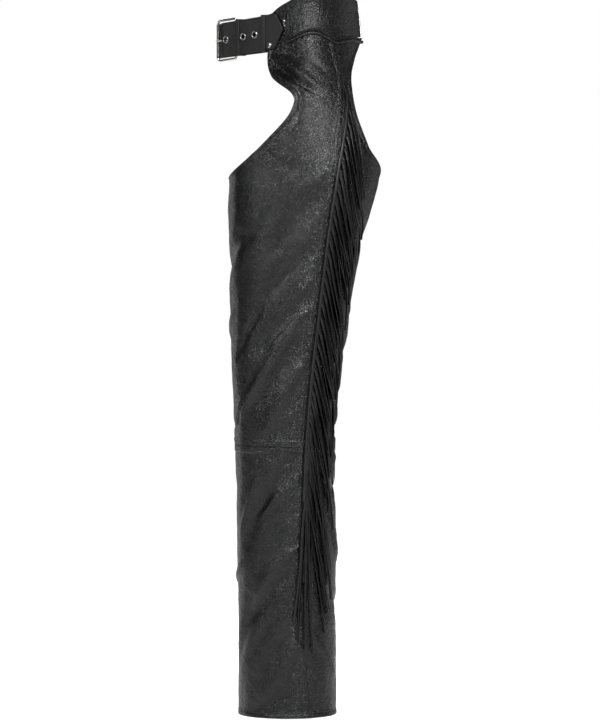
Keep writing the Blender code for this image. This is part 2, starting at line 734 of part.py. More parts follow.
def build_tongue(leather, collection, cutters):
    # from the right yoke round the belly, in under the frame's front bar and out over its other bar
    left = [belt_point(row.run, row.out) for row in TONGUE_PATH]
    level = left[-1].z
    belly = Vector((0.0, BELLY_FRONT, level))
    right = [mirrored(belt_point(run, TONGUE_OUT)) for run in TONGUE_RIGHT_RUNS]
    line = left + [belly, belly + BELLY_CORNER] + right
    thing = strap("tongue_strap", line, TONGUE_RISES, STRAP_THICKNESS, TONGUE_PULLS, leather, collection)
    for number, run in enumerate(EYELET_RUNS):
        cut(thing, pin_cutter(f"eyelet_hole_{number}", belt_point(run, TONGUE_OUT), cutters))
    cut(thing, box("tongue_slot", belt_point(TONGUE_SLOT_RUN, 0.0), TONGUE_SLOT, cutters))


def belt_frame_matrix(centre):
    axes = Matrix((BELT_ALONG, BELT_OUT, Vector((0, 0, 1)))).transposed().to_4x4()
    return Matrix.Translation(centre) @ axes


def box(name, centre, size, collection):
    # a box with its sides along the belt, out from it and up
    mesh = bpy.data.meshes.new(name)
    work = bmesh.new()
    bmesh.ops.create_cube(work, size=1.0)
    bmesh.ops.scale(work, vec=size, verts=work.verts)
    bmesh.ops.transform(work, matrix=belt_frame_matrix(centre), verts=work.verts)
    bmesh.ops.recalc_face_normals(work, faces=work.faces)
    work.to_mesh(mesh)
    work.free()
    thing = bpy.data.objects.new(name, mesh)
    collection.objects.link(thing)
    thing.hide_render = True
    thing.display_type = "WIRE"
    return thing


def pin_cutter(name, centre, collection):
    mesh = bpy.data.meshes.new(name)
    work = bmesh.new()
    turn = Matrix.Rotation(math.radians(90), 4, "X")
    bmesh.ops.create_cone(work, cap_ends=True, segments=12, radius1=EYELET_HOLE,
                          radius2=EYELET_HOLE, depth=EYELET_HOLE_DEPTH)
    bmesh.ops.transform(work, matrix=belt_frame_matrix(centre) @ turn, verts=work.verts)
    bmesh.ops.recalc_face_normals(work, faces=work.faces)
    work.to_mesh(mesh)
    work.free()
    thing = bpy.data.objects.new(name, mesh)
    collection.objects.link(thing)
    thing.hide_render = True
    thing.display_type = "WIRE"
    return thing


def cut(thing, cutter):
    modifier = thing.modifiers.new(cutter.name, "BOOLEAN")
    modifier.operation = "DIFFERENCE"
    modifier.object = cutter


def rod(name, line, radius, cyclic, material, collection):
    curve = bpy.data.curves.new(name, "CURVE")
    curve.dimensions = "3D"
    curve.bevel_depth = radius
    curve.bevel_resolution = 2
    curve.use_fill_caps = not cyclic
    spline = curve.splines.new("POLY")
    spline.points.add(len(line) - 1)
    for point, place in zip(spline.points, line):
        point.co = (*place, 1.0)
    spline.use_cyclic_u = cyclic
    curve.materials.append(material)
    thing = bpy.data.objects.new(name, curve)
    collection.objects.link(thing)
    return thing


def build_buckle(metal, collection):
    # a rounded rectangle of round bar, and the prong from its inner bar to its front bar
    corners = [
        (BAR_RUN + FRAME_CORNER, -FRAME_HALF_HEIGHT + FRAME_CORNER, 180),
        (FRAME_FRONT_RUN - FRAME_CORNER, -FRAME_HALF_HEIGHT + FRAME_CORNER, 270),
        (FRAME_FRONT_RUN - FRAME_CORNER, FRAME_HALF_HEIGHT - FRAME_CORNER, 0),
        (BAR_RUN + FRAME_CORNER, FRAME_HALF_HEIGHT - FRAME_CORNER, 90),
    ]
    line = []
    for run, rise, start in corners:
        for step in range(4):
            turn = math.radians(start + 30 * step)
            along = run + FRAME_CORNER * math.cos(turn)
            share = (along - BAR_RUN) / (FRAME_FRONT_RUN - BAR_RUN)
            out = BAR_OUT + share * (FRAME_FRONT_OUT - BAR_OUT)
            line.append(belt_point(along, out, rise + FRAME_CORNER * math.sin(turn)))
    rod("buckle_frame", line, FRAME_BAR_RADIUS, True, metal, collection)
    wrap = FRAME_BAR_RADIUS + SEAM_GAP + PRONG_RADIUS
    prong = [belt_point(*row) for row in PRONG_LINE]
    for step in range(PRONG_STEPS + 1):
        turn = math.radians(PRONG_TURN_START - PRONG_TURN * step / PRONG_STEPS)
        prong.append(belt_point(BAR_RUN + wrap * math.sin(turn), BAR_OUT + wrap * math.cos(turn)))
    rod("buckle_prong", prong, PRONG_RADIUS, False, metal, collection)


def chamfered(low, high, half_height, chamfer):
    # a rectangle with cut corners, as (out, rise) points in order round it
    return [(low + chamfer, -half_height), (high - chamfer, -half_height),
            (high, -half_height + chamfer), (high, half_height - chamfer),
            (high - chamfer, half_height), (low + chamfer, half_height),
            (low, half_height - chamfer), (low, -half_height + chamfer)]


def build_keeper(keeper, leather, collection):
    # a leather loop round the straps
    outside = TONGUE_OUT + STRAP_THICKNESS / 2 + SEAM_GAP
    thick = KEEPER_THICKNESS
    inner = chamfered(keeper.inner_out, outside, KEEPER_HALF, thick * 0.2)
    outer = chamfered(keeper.inner_out - thick, outside + thick, KEEPER_HALF + thick, thick * 0.8)
    rings = []
    for (near_out, near_rise), (far_out, far_rise) in zip(inner, outer):
        start = keeper.run - keeper.slant * near_rise - keeper.width / 2
        end = start + keeper.width
        rings.append([belt_point(start, near_out, near_rise), belt_point(end, near_out, near_rise),
                      belt_point(end, far_out, far_rise), belt_point(start, far_out, far_rise)])
    return loft(keeper.name, rings, leather, collection, closed=True)


def ring_of_metal(name, matrix, metal, collection, stretch=(1.0, 1.0, EYELET_FLATTEN)):
    bpy.ops.mesh.primitive_torus_add(major_radius=EYELET_RING, minor_radius=EYELET_TUBE,
                                     major_segments=14, minor_segments=5)
    thing = bpy.context.active_object
    thing.name = name
    for owner in list(thing.users_collection):
        owner.objects.unlink(thing)
    collection.objects.link(thing)
    thing.data.transform(matrix @ Matrix.Diagonal((*stretch, 1.0)))
    thing.data.materials.append(metal)
    thing.data.shade_smooth()
    return thing


def build_small_metal(metal, collection):
    above = STRAP_THICKNESS / 2 + SEAM_GAP
    turn = Matrix.Rotation(math.radians(90), 4, "X")
    for number, run in enumerate(EYELET_RUNS):
        surface = read_table(TONGUE_PATH, "run", "out", run + EYELET_RING) + above
        centre = belt_point(run, surface + EYELET_TUBE * EYELET_FLATTEN)
        matrix = belt_frame_matrix(centre) @ turn
        ring_of_metal(f"eyelet_{number + 1}", matrix, metal, collection)
    for side_name, side in SIDES.items():
        mirror = Matrix.Diagonal((side, 1.0, 1.0, 1.0))
        centre = belt_point(STUD_RUN, TONGUE_OUT + above + STUD_DOME, STUD_DROP)
        mesh = bpy.data.meshes.new(f"{side_name}_stud")
        work = bmesh.new()
        bmesh.ops.create_uvsphere(work, u_segments=10, v_segments=6, radius=1.0)
        bmesh.ops.scale(work, vec=(STUD_RADIUS, STUD_DOME, STUD_RADIUS), verts=work.verts)
        bmesh.ops.transform(work, matrix=mirror @ belt_frame_matrix(centre), verts=work.verts)
        bmesh.ops.recalc_face_normals(work, faces=work.faces)
        work.to_mesh(mesh)
        work.free()
        mesh.materials.append(metal)
        mesh.shade_smooth()
        thing = bpy.data.objects.new(f"{side_name}_stud", mesh)
        collection.objects.link(thing)
        place = form_point(CREASE_EYELET_ANGLE, CREASE_EYELET_HEIGHT)
        normal = form_normal(CREASE_EYELET_ANGLE, CREASE_EYELET_HEIGHT)
        place += normal * (HEM_RAISE + SEAM_GAP + EYELET_TUBE * EYELET_FLATTEN)
        across = Vector((0, 0, 1)).cross(normal).normalized()
        axes = Matrix((across, normal.cross(across), normal)).transposed().to_4x4()
        matrix = mirror @ Matrix.Translation(place) @ axes
        stretch = (CREASE_EYELET_NARROW, 1.0, EYELET_FLATTEN)
        ring = ring_of_metal(f"{side_name}_crease_eyelet", matrix, metal, collection, stretch)
        if side < 0:
            ring.data.flip_normals()


def main():
    clear_scene()
    parts = new_collection("leather_chaps")
    cutters = new_collection("cutters")
    leather = make_material("black_leather", (0.012, 0.012, 0.013), 0.45, 0.0)
    metal = make_material("polished_nickel", (0.62, 0.61, 0.59), 0.22, 1.0)
    for side_name in SIDES:
        tops = build_leg(side_name, leather, parts)
        build_yoke(side_name, tops, leather, parts)
        for number, layer in enumerate(FRINGE_LAYERS):
            build_fringe(side_name, layer, number, leather, parts)
    build_buckle_strap(leather, parts, cutters)
    build_tongue(leather, parts, cutters)
    build_buckle(metal, parts)
    for keeper in KEEPERS:
        build_keeper(keeper, leather, parts)
    build_small_metal(metal, parts)


main()
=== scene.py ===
import math
import random

import bpy
import numpy as np
from mathutils import Matrix, Vector


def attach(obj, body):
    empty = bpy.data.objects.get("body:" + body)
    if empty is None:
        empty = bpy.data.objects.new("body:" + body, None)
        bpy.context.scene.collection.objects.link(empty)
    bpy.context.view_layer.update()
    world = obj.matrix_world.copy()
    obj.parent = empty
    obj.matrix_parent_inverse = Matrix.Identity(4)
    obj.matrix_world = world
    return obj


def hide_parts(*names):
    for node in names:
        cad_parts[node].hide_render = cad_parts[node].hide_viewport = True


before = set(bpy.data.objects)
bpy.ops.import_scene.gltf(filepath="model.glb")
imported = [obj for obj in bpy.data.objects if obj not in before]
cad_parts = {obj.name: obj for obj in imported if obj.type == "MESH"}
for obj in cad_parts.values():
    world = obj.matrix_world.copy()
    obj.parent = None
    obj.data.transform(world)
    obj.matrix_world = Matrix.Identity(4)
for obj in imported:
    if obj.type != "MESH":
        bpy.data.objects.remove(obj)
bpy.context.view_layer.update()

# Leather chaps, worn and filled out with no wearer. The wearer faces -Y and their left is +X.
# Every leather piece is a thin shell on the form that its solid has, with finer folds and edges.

sides = {"left": 1.0, "right": -1.0}


# ---- general helpers ----

def deselectAll():
    if bpy.context.object and bpy.context.object.mode != "OBJECT":
        bpy.ops.object.mode_set(mode="OBJECT")
    bpy.ops.object.select_all(action="DESELECT")


def rise(value, start, end):
    # 0 before start, 1 after end, and smooth between them
    share = np.clip((value - start) / (end - start), 0.0, 1.0)
    return share * share * (3 - 2 * share)


def unit(vectors):
    return vectors / np.maximum(np.linalg.norm(vectors, axis=-1, keepdims=True), 1e-12)


def curveThrough(rows, key, place):
    # a smooth curve through a table, by its column 'key', for the rest of its columns
    table = np.array(rows, float)
    table = table[np.argsort(table[:, key])]
    last = len(table) - 1
    before, after = np.maximum(np.arange(last + 1) - 1, 0), np.minimum(np.arange(last + 1) + 1, last)
    slope = (table[after] - table[before]) / (table[after, key] - table[before, key])[:, None]
    place = np.clip(np.asarray(place, float), table[0, key], table[-1, key])
    index = np.clip(np.searchsorted(table[:, key], place, side="right") - 1, 0, last - 1)
    low, high = table[index], table[index + 1]
    step = (high[..., key] - low[..., key])[..., None]
    t = (place - low[..., key])[..., None] / step
    value = (2 * t ** 3 - 3 * t ** 2 + 1) * low + (t ** 3 - 2 * t ** 2 + t) * step * slope[index]
    value = value + (3 * t ** 2 - 2 * t ** 3) * high + (t ** 3 - t ** 2) * step * slope[index + 1]
    return value


# ---- the form: a row of ellipses, an angle of 0 is the outer side, 90 the front, -90 the back ----

bodyForm = {
    # height, centre Y, half depth, centre X, reach to the outside, reach to the inside
    "sections": [
        (-1.060, -0.0035, 0.0735, 0.1130, 0.0720, 0.0700),
        (-0.873, -0.0042, 0.0735, 0.1090, 0.0720, 0.0700),
        (-0.783, -0.0050, 0.0743, 0.1070, 0.0725, 0.0705),
        (-0.693, -0.0064, 0.0743, 0.1050, 0.0740, 0.0715),
        (-0.639, -0.0074, 0.0750, 0.1040, 0.0750, 0.0725),
        (-0.603, -0.0065, 0.0773, 0.1025, 0.0765, 0.0740),
        (-0.558, -0.0052, 0.0803, 0.1010, 0.0785, 0.0760),
        (-0.513, -0.0040, 0.0838, 0.0995, 0.0810, 0.0780),
        (-0.468, -0.0013, 0.0870, 0.0980, 0.0833, 0.0800),
        (-0.423, 0.0010, 0.0907, 0.0967, 0.0860, 0.0820),
        (-0.378, 0.0047, 0.0958, 0.0955, 0.0880, 0.0835),
        (-0.333, 0.0094, 0.1006, 0.0940, 0.0900, 0.0850),
        (-0.288, 0.0146, 0.1073, 0.0925, 0.0912, 0.0860),
        (-0.243, 0.0213, 0.1125, 0.0910, 0.0922, 0.0860),
        (-0.185, 0.0220, 0.1190, 0.0600, 0.1160, 0.0600),
        (-0.120, 0.0140, 0.1180, 0.0200, 0.1410, 0.0200),
        (-0.070, 0.0040, 0.1120, 0.0000, 0.1480, 0.0000),
        (-0.035, 0.0000, 0.1090, 0.0000, 0.1380, 0.0000),
        (0.050, 0.0000, 0.1000, 0.0000, 0.1290, 0.0000),
    ],
    "beltFlareFrom": -0.054, "beltFlare": 0.55, "beltFlareGrowth": 3.0,
    "beltRounding": 0.004, "beltBackLimit": -60.0,
}
beltStart = np.array([0.135, 0.020, 0.0])
beltAlong = unit(np.array([-0.675, -0.738, 0.0]))
beltOut = unit(np.array([0.738, -0.675, 0.0]))


def sectionAt(height):
    found = curveThrough(bodyForm["sections"], 0, height)
    return [found[..., column] for column in range(1, 6)]


def formPlace(angle, height):
    angle, height = np.broadcast_arrays(np.asarray(angle, float), np.asarray(height, float))
    centreY, halfDepth, centreX, reachOut, reachIn = sectionAt(height)
    turn = np.radians(angle)
    y = centreY - halfDepth * np.sin(turn)
    side = np.cos(turn)
    x = centreX + np.where(side > 0, reachOut, reachIn) * side
    below = np.maximum(0.0, bodyForm["beltFlareFrom"] - height)
    straight = beltStart[0] + (y - beltStart[1]) * beltAlong[0] / beltAlong[1]
    straight = straight + bodyForm["beltFlare"] * below + bodyForm["beltFlareGrowth"] * below ** 2
    kept = (x + straight) / 2 - np.hypot((x - straight) / 2, bodyForm["beltRounding"])
    onBelt = (side > 0) & (angle > bodyForm["beltBackLimit"])
    return np.stack([np.where(onBelt, kept, x), y, height], -1)


def formNormal(angle, height):
    along = formPlace(np.add(angle, 0.5), height) - formPlace(np.add(angle, -0.5), height)
    up = formPlace(angle, np.add(height, 0.001)) - formPlace(angle, np.add(height, -0.001))
    return unit(np.cross(up, along))


def gapAngle(angle, height, distance):
    # the angle that a distance along the leather takes up
    centreY, halfDepth, centreX, reachOut, reachIn = sectionAt(height)
    turn = np.radians(angle)
    reach = np.where(np.cos(turn) > 0, reachOut, reachIn)
    return np.degrees(distance / np.hypot(halfDepth * np.cos(turn), reach * np.sin(turn)))


# ---- folds and creases in the leather ----

leatherFolds = {
    "radius": 0.085,      # turns an angle into a distance round the leg
    "endLength": 0.020,
    "lip": 0.45,          # how far the leather swells beside a fold
    "largeDeepen": 1.9, "smallDeepen": 2.6,
    # from angle, height, to angle, height, half width, out (+) or in (-)
    "large": [
        (4.8, -0.069, -7.3, -0.090, 0.008, 0.0026), (9.0, -0.081, -5.0, -0.101, 0.007, -0.0024),
        (30.0, -0.204, 14.0, -0.222, 0.008, -0.0015), (-9.9, -0.273, 14.1, -0.337, 0.012, -0.0024),
        (-9.1, -0.354, 24.2, -0.415, 0.013, -0.0028), (-11.0, -0.424, 26.4, -0.484, 0.013, -0.0032),
        (-6.4, -0.450, 17.0, -0.519, 0.012, 0.0026), (17.0, -0.519, 55.0, -0.580, 0.012, 0.0026),
        (-7.0, -0.487, 28.4, -0.563, 0.012, -0.0032), (-10.0, -0.525, 5.1, -0.566, 0.012, 0.0024),
        (5.1, -0.566, 20.1, -0.608, 0.012, 0.0024), (-5.0, -0.663, 27.7, -0.718, 0.013, -0.0028),
        (27.7, -0.718, 49.3, -0.778, 0.013, -0.0022), (2.6, -0.800, 33.5, -0.856, 0.012, 0.0026),
        (9.0, -0.838, 40.0, -0.886, 0.013, -0.0026), (47.5, -0.874, 68.4, -0.937, 0.014, -0.0026),
        (-6.0, -0.937, 26.1, -1.005, 0.013, 0.0026), (60.0, -0.330, 110.0, -0.400, 0.016, -0.0028),
        (110.0, -0.560, 165.0, -0.520, 0.014, -0.0028), (100.0, -0.700, 160.0, -0.670, 0.014, -0.0026),
        (-80.0, -0.320, -125.0, -0.380, 0.015, -0.0030), (-78.0, -0.575, -140.0, -0.545, 0.014, -0.0032),
        (-74.0, -0.620, -135.0, -0.605, 0.012, -0.0028), (-74.0, -0.700, -130.0, -0.730, 0.014, -0.0030),
        (-60.0, -0.860, -120.0, -0.905, 0.014, -0.0026),
    ],
    "small": [
        (10.0, -0.075, 0.0, -0.083, 0.0030, -0.0009), (12.5, -0.088, -1.0, -0.097, 0.0030, 0.0008),
        (6.0, -0.097, -6.0, -0.112, 0.0032, 0.0008), (-14.0, -0.060, -22.0, -0.078, 0.0045, -0.0007),
        (3.0, -0.113, 8.0, -0.150, 0.0030, 0.0010), (-2.0, -0.118, 4.0, -0.156, 0.0034, -0.0010),
        (9.5, -0.160, 22.0, -0.190, 0.0034, 0.0008), (24.0, -0.188, 12.0, -0.202, 0.0036, -0.0010),
        (32.0, -0.214, 20.0, -0.228, 0.0034, 0.0008), (-12.0, -0.235, 4.0, -0.262, 0.0060, 0.0008),
        (6.0, -0.300, 22.0, -0.330, 0.0050, -0.0008), (30.0, -0.300, 52.0, -0.345, 0.0070, -0.0010),
        (-15.0, -0.395, -4.0, -0.418, 0.0045, 0.0010), (-15.5, -0.448, -6.0, -0.462, 0.0040, -0.0010),
        (-14.0, -0.505, -3.0, -0.520, 0.0042, -0.0010), (8.0, -0.440, 22.0, -0.468, 0.0050, 0.0010),
        (32.0, -0.440, 58.0, -0.500, 0.0070, -0.0012), (38.0, -0.540, 66.0, -0.600, 0.0070, -0.0012),
        (-12.0, -0.585, 4.0, -0.600, 0.0040, 0.0009), (4.0, -0.612, 26.0, -0.624, 0.0040, -0.0009),
        (-14.0, -0.652, 2.0, -0.668, 0.0042, -0.0011), (2.0, -0.668, 20.0, -0.662, 0.0042, 0.0010),
        (-11.0, -0.690, 8.0, -0.712, 0.0055, 0.0012), (8.0, -0.712, 30.0, -0.742, 0.0055, 0.0010),
        (-10.0, -0.735, 6.0, -0.748, 0.0040, -0.0009), (-12.0, -0.790, 4.0, -0.806, 0.0050, 0.0010),
        (40.0, -0.700, 62.0, -0.760, 0.0070, 0.0012), (20.0, -0.905, 44.0, -0.950, 0.0060, -0.0010),
        (-10.0, -0.880, 6.0, -0.905, 0.0055, 0.0010), (0.0, -1.010, 30.0, -1.026, 0.0050, -0.0010),
        (-45.0, -0.655, -62.0, -0.690, 0.0070, 0.0012), (-50.0, -0.720, -70.0, -0.780, 0.0080, -0.0014),
        (-62.0, -0.760, -86.0, -0.800, 0.0080, 0.0016), (-40.0, -0.930, -70.0, -0.975, 0.0070, 0.0012),
        (-60.0, -0.400, -84.0, -0.470, 0.0080, 0.0012), (-62.0, -0.520, -90.0, -0.500, 0.0070, -0.0012),
        (80.0, -0.450, 120.0, -0.500, 0.0090, 0.0012), (92.0, -0.610, 150.0, -0.600, 0.0070, -0.0012),
        (96.0, -0.640, 140.0, -0.652, 0.0060, -0.0010), (70.0, -0.820, 120.0, -0.860, 0.0080, 0.0012),
        (130.0, -0.760, 172.0, -0.800, 0.0080, -0.0012), (-100.0, -0.440, -150.0, -0.470, 0.0090, 0.0012),
        (-96.0, -0.660, -150.0, -0.672, 0.0070, 0.0012), (-110.0, -0.800, -160.0, -0.830, 0.0080, -0.0012),
    ],
}


def foldDepth(angle, height):
    # how far the leather lies out (+) or in (-) of its plain form
    radius = leatherFolds["radius"]
    around, up = np.radians(angle) * radius, np.asarray(height, float)
    depth = np.zeros(np.broadcast(around, up).shape)
    for fromAngle, fromHeight, toAngle, toHeight, width, deep in leatherFolds["large"] + leatherFolds["small"]:
        startX, endX = math.radians(fromAngle) * radius, math.radians(toAngle) * radius
        lineX, lineY = endX - startX, toHeight - fromHeight
        long2 = lineX ** 2 + lineY ** 2
        along = ((around - startX) * lineX + (up - fromHeight) * lineY) / long2
        onLine = np.clip(along, 0.0, 1.0)
        apart2 = (around - startX - lineX * onLine) ** 2 + (up - fromHeight - lineY * onLine) ** 2
        beyond = np.maximum(np.maximum(along - 1.0, -along), 0.0) * math.sqrt(long2)
        side2 = np.maximum(apart2 - beyond ** 2, 0.0) / width ** 2
        end = np.exp(-(beyond / min(leatherFolds["endLength"], width * 2.0)) ** 2)
        taper = 0.55 + 0.45 * np.sin(np.pi * (0.15 + 0.7 * onLine))
        deepen = leatherFolds["smallDeepen"] if abs(deep) < 0.0017 else leatherFolds["largeDeepen"]
        depth += deep * deepen * taper * end * np.exp(-side2) * (1 - leatherFolds["lip"] * side2)
    # slow unevenness of worn leather
    depth += 0.00035 * np.sin(around * 95 + up * 31 + 1.3) * np.sin(up * 64 - around * 22)
    depth += 0.00022 * np.sin(around * 190 - up * 120) * np.sin(up * 150 + 0.7 + around * 60)
    return depth


# ---- seams and edges of the garment ----

garment = {
    "wall": 0.0016, "seamGap": 0.0003,
    "hemHeight": -1.0435, "kneeHeight": -0.639, "yokeTop": 0.033,
    "outseam": [  # height, angle
        (-1.0435, -26.2), (-0.952, -22.4), (-0.864, -19.0), (-0.790, -17.1), (-0.718, -17.9),
        (-0.639, -21.3), (-0.575, -22.4), (-0.503, -24.4), (-0.410, -26.0), (-0.315, -24.6),
        (-0.237, -23.3), (-0.190, -26.1), (-0.151, -30.9), (-0.116, -35.6), (-0.088, -39.4),
        (-0.066, -39.6), (-0.040, -38.9),
    ],
    "yokeLowBack": [  # angle, height, up to the point where the outseam meets the yoke
        (-90.0, -0.0372), (-67.9, -0.0368), (-56.7, -0.0362), (-47.0, -0.0388), (-38.9, -0.0409),
    ],
    "yokeLowFront": [
        (-38.9, -0.0409), (-30.7, -0.0334), (-23.0, -0.0271), (-15.5, -0.0271), (-8.1, -0.0320),
        (1.5, -0.0395), (8.0, -0.0438), (17.6, -0.0475),
    ],
    "yokeHigh": [
        (-90.0, 0.0240), (-70.0, 0.0290), (-50.0, 0.0322), (-36.0, 0.033), (-9.0, 0.033), (-5.0, 0.0300), (-0.3, 0.0244), (4.7, 0.0197), (9.7, 0.0140),
        (14.6, 0.0062), (17.6, 0.0045),
    ],
    # seam height, edge height, edge angle, from the crotch to the yoke
    "frontOpening": [
        (-0.292, -0.2620, 180.0), (-0.275, -0.2520, 140.0), (-0.259, -0.2445, 108.0),
        (-0.243, -0.2375, 82.0), (-0.224, -0.2205, 56.7), (-0.204, -0.1983, 37.9),
        (-0.184, -0.1760, 24.4), (-0.165, -0.1538, 12.8), (-0.148, -0.1374, 6.6),
        (-0.130, -0.1207, 3.6), (-0.118, -0.1093, 5.4), (-0.107, -0.1009, 10.0),
        (-0.096, -0.0937, 14.8), (-0.085, -0.0857, 18.2), (-0.073, -0.0740, 19.4),
        (-0.058, -0.0600, 18.9), (-0.041, -0.0475, 17.6),
    ],
    "backOpening": [
        (-0.292, -0.2620, -180.0), (-0.275, -0.2535, -140.0), (-0.259, -0.2440, -112.0),
        (-0.243, -0.2330, -92.0), (-0.224, -0.2190, -74.0), (-0.204, -0.2000, -56.8),
        (-0.184, -0.1800, -49.6), (-0.165, -0.1630, -46.0), (-0.148, -0.1480, -43.8),
        (-0.130, -0.1300, -43.0), (-0.118, -0.1180, -43.2), (-0.107, -0.1070, -44.2),
        (-0.096, -0.0950, -46.0), (-0.085, -0.0820, -49.4), (-0.073, -0.0705, -54.2),
        (-0.058, -0.0545, -62.1), (-0.041, -0.0366, -74.5),
    ],
}


def outseamAngle(height):
    return curveThrough(garment["outseam"], 0, height)[..., 1]


def yokeLow(angle):
    back = curveThrough(garment["yokeLowBack"], 0, angle)[..., 1]
    front = curveThrough(garment["yokeLowFront"], 0, angle)[..., 1]
    return np.where(np.asarray(angle) < -38.9, back, front)


def yokeHigh(angle):
    return np.minimum(curveThrough(garment["yokeHigh"], 0, angle)[..., 1], garment["yokeTop"])


# ---- materials ----

def linear(hexColour):
    # sRGB hex to the linear colour that Blender's shaders take
    values = [int(hexColour[i:i + 2], 16) / 255 for i in (1, 3, 5)]
    return (*[v / 12.92 if v <= 0.04045 else ((v + 0.055) / 1.055) ** 2.4 for v in values], 1.0)


def addNode(tree, kind, settings=None, inputs=None):
    node = tree.nodes.new(kind)
    for key, value in (settings or {}).items():
        setattr(node, key, value)
    for socket, value in (inputs or {}).items():
        if isinstance(value, bpy.types.NodeSocket):
            tree.links.new(value, node.inputs[socket])
        else:
            node.inputs[socket].default_value = value
    return node


def newMaterial(name):
    material = bpy.data.materials.new(name)
    material.use_nodes = True
    tree = material.node_tree
    return material, tree, tree.nodes["Principled BSDF"]


def math2(tree, operation, first, second):
    return addNode(tree, "ShaderNodeMath", {"operation": operation}, {0: first, 1: second}).outputs[0]


def cowhide(name, look):
    # drum-dyed and milled cowhide, pebbled at 2 to 3 mm, with a semi-gloss finish: nearly black, with
    # soft broad highlights that the grain breaks into specks. Its base colour also carries painted shade:
    # darker where the relief lies low and in the grain's valleys, lighter where the relief is raised
    material, tree, shader = newMaterial(name)
    place = addNode(tree, "ShaderNodeTexCoord").outputs["Object"]
    warp = addNode(tree, "ShaderNodeTexNoise", {}, {"Vector": place, "Scale": 1 / 0.006, "Detail": 2.0})
    shifted = addNode(tree, "ShaderNodeVectorMath", {"operation": "MULTIPLY_ADD"},
                      {0: warp.outputs["Color"], 1: (0.0016, 0.0016, 0.0016), 2: place}).outputs[0]
    pebble = addNode(tree, "ShaderNodeTexVoronoi", {"feature": "DISTANCE_TO_EDGE"},
                     {"Vector": shifted, "Scale": 1 / look["pebble"]}).outputs["Distance"]
    valley = addNode(tree, "ShaderNodeMapRange", {"interpolation_type": "SMOOTHSTEP"},
                     {"Value": pebble, "From Min": 0.0, "From Max": 0.22}).outputs[0]
    pore = addNode(tree, "ShaderNodeTexNoise", {},
                   {"Vector": place, "Scale": 1 / 0.0011, "Detail": 3.0}).outputs["Fac"]
    crease = addNode(tree, "ShaderNodeTexNoise", {},
                     {"Vector": shifted, "Scale": 1 / 0.007, "Detail": 4.0, "Roughness": 0.68}).outputs["Fac"]
    wear = addNode(tree, "ShaderNodeTexNoise", {},
                   {"Vector": place, "Scale": 1 / 0.045, "Detail": 5.0, "Roughness": 0.6}).outputs["Fac"]
    relief = addNode(tree, "ShaderNodeAttribute", {"attribute_name": "relief"}).outputs["Fac"]
    tone = addNode(tree, "ShaderNodeMapRange", {},
                   {"Value": wear, "From Min": 0.3, "From Max": 0.7}).outputs[0]
    # painted shade: where the leather's relief lies low the colour is painted darker, where it is raised lighter; the
    # wear noise's tone is the leather's own
    paintedReliefShade = addNode(tree, "ShaderNodeMapRange", {},
                     {"Value": relief, "From Min": -1.5, "From Max": 1.5, "To Min": 0.0, "To Max": 1.0}).outputs[0]
    shade = math2(tree, "MULTIPLY", tone, math2(tree, "ADD", paintedReliefShade, 0.35))
    # painted shade: the grain's valleys are painted darker
    shade = math2(tree, "MULTIPLY", shade, math2(tree, "MULTIPLY_ADD", valley, 0.45))
    ramp = addNode(tree, "ShaderNodeValToRGB", {}, {"Fac": shade})
    ramp.color_ramp.elements[0].color = linear(look["dark"])
    ramp.color_ramp.elements[1].color = linear(look["light"])
    ramp.color_ramp.elements[1].position = 0.75
    tree.links.new(ramp.outputs["Color"], shader.inputs["Base Color"])
    gloss = addNode(tree, "ShaderNodeMapRange", {}, {
        "Value": wear, "From Min": 0.25, "From Max": 0.75,
        "To Min": look["roughness"] - 0.07, "To Max": look["roughness"] + 0.09}).outputs[0]
    rough = addNode(tree, "ShaderNodeMapRange", {},
                    {"Value": valley, "To Min": 0.12, "To Max": 0.0}).outputs[0]
    tree.links.new(math2(tree, "ADD", gloss, rough), shader.inputs["Roughness"])
    bump = addNode(tree, "ShaderNodeBump", {}, {"Height": crease, "Distance": look["crease"], "Strength": 1.0})
    bump = addNode(tree, "ShaderNodeBump", {}, {
        "Height": valley, "Distance": look["grain"], "Strength": 1.0, "Normal": bump.outputs[0]})
    bump = addNode(tree, "ShaderNodeBump", {}, {
        "Height": pore, "Distance": look["pore"], "Strength": 1.0, "Normal": bump.outputs[0]})
    tree.links.new(bump.outputs[0], shader.inputs["Normal"])
    shader.inputs["IOR"].default_value = 1.5
    shader.inputs["Specular IOR Level"].default_value = look["specular"]
    return material


def waxedThread():
    # bonded nylon sewing thread, black and faintly shiny, so that stitches read as small beads
    material, tree, shader = newMaterial("bondedNylonThread")
    place = addNode(tree, "ShaderNodeTexCoord").outputs["Object"]
    fleck = addNode(tree, "ShaderNodeTexNoise", {}, {"Vector": place, "Scale": 1 / 0.004, "Detail": 2.0})
    ramp = addNode(tree, "ShaderNodeValToRGB", {}, {"Fac": fleck.outputs["Fac"]})
    ramp.color_ramp.elements[0].color = linear("#131314")
    ramp.color_ramp.elements[1].color = linear("#2a2a2c")
    tree.links.new(ramp.outputs["Color"], shader.inputs["Base Color"])
    twist = addNode(tree, "ShaderNodeTexNoise", {}, {"Vector": place, "Scale": 1 / 0.0009, "Detail": 1.0})
    bump = addNode(tree, "ShaderNodeBump", {}, {"Height": twist.outputs["Fac"], "Distance": 0.0001})
    tree.links.new(bump.outputs[0], shader.inputs["Normal"])
    shader.inputs["Roughness"].default_value = 0.42
    return material


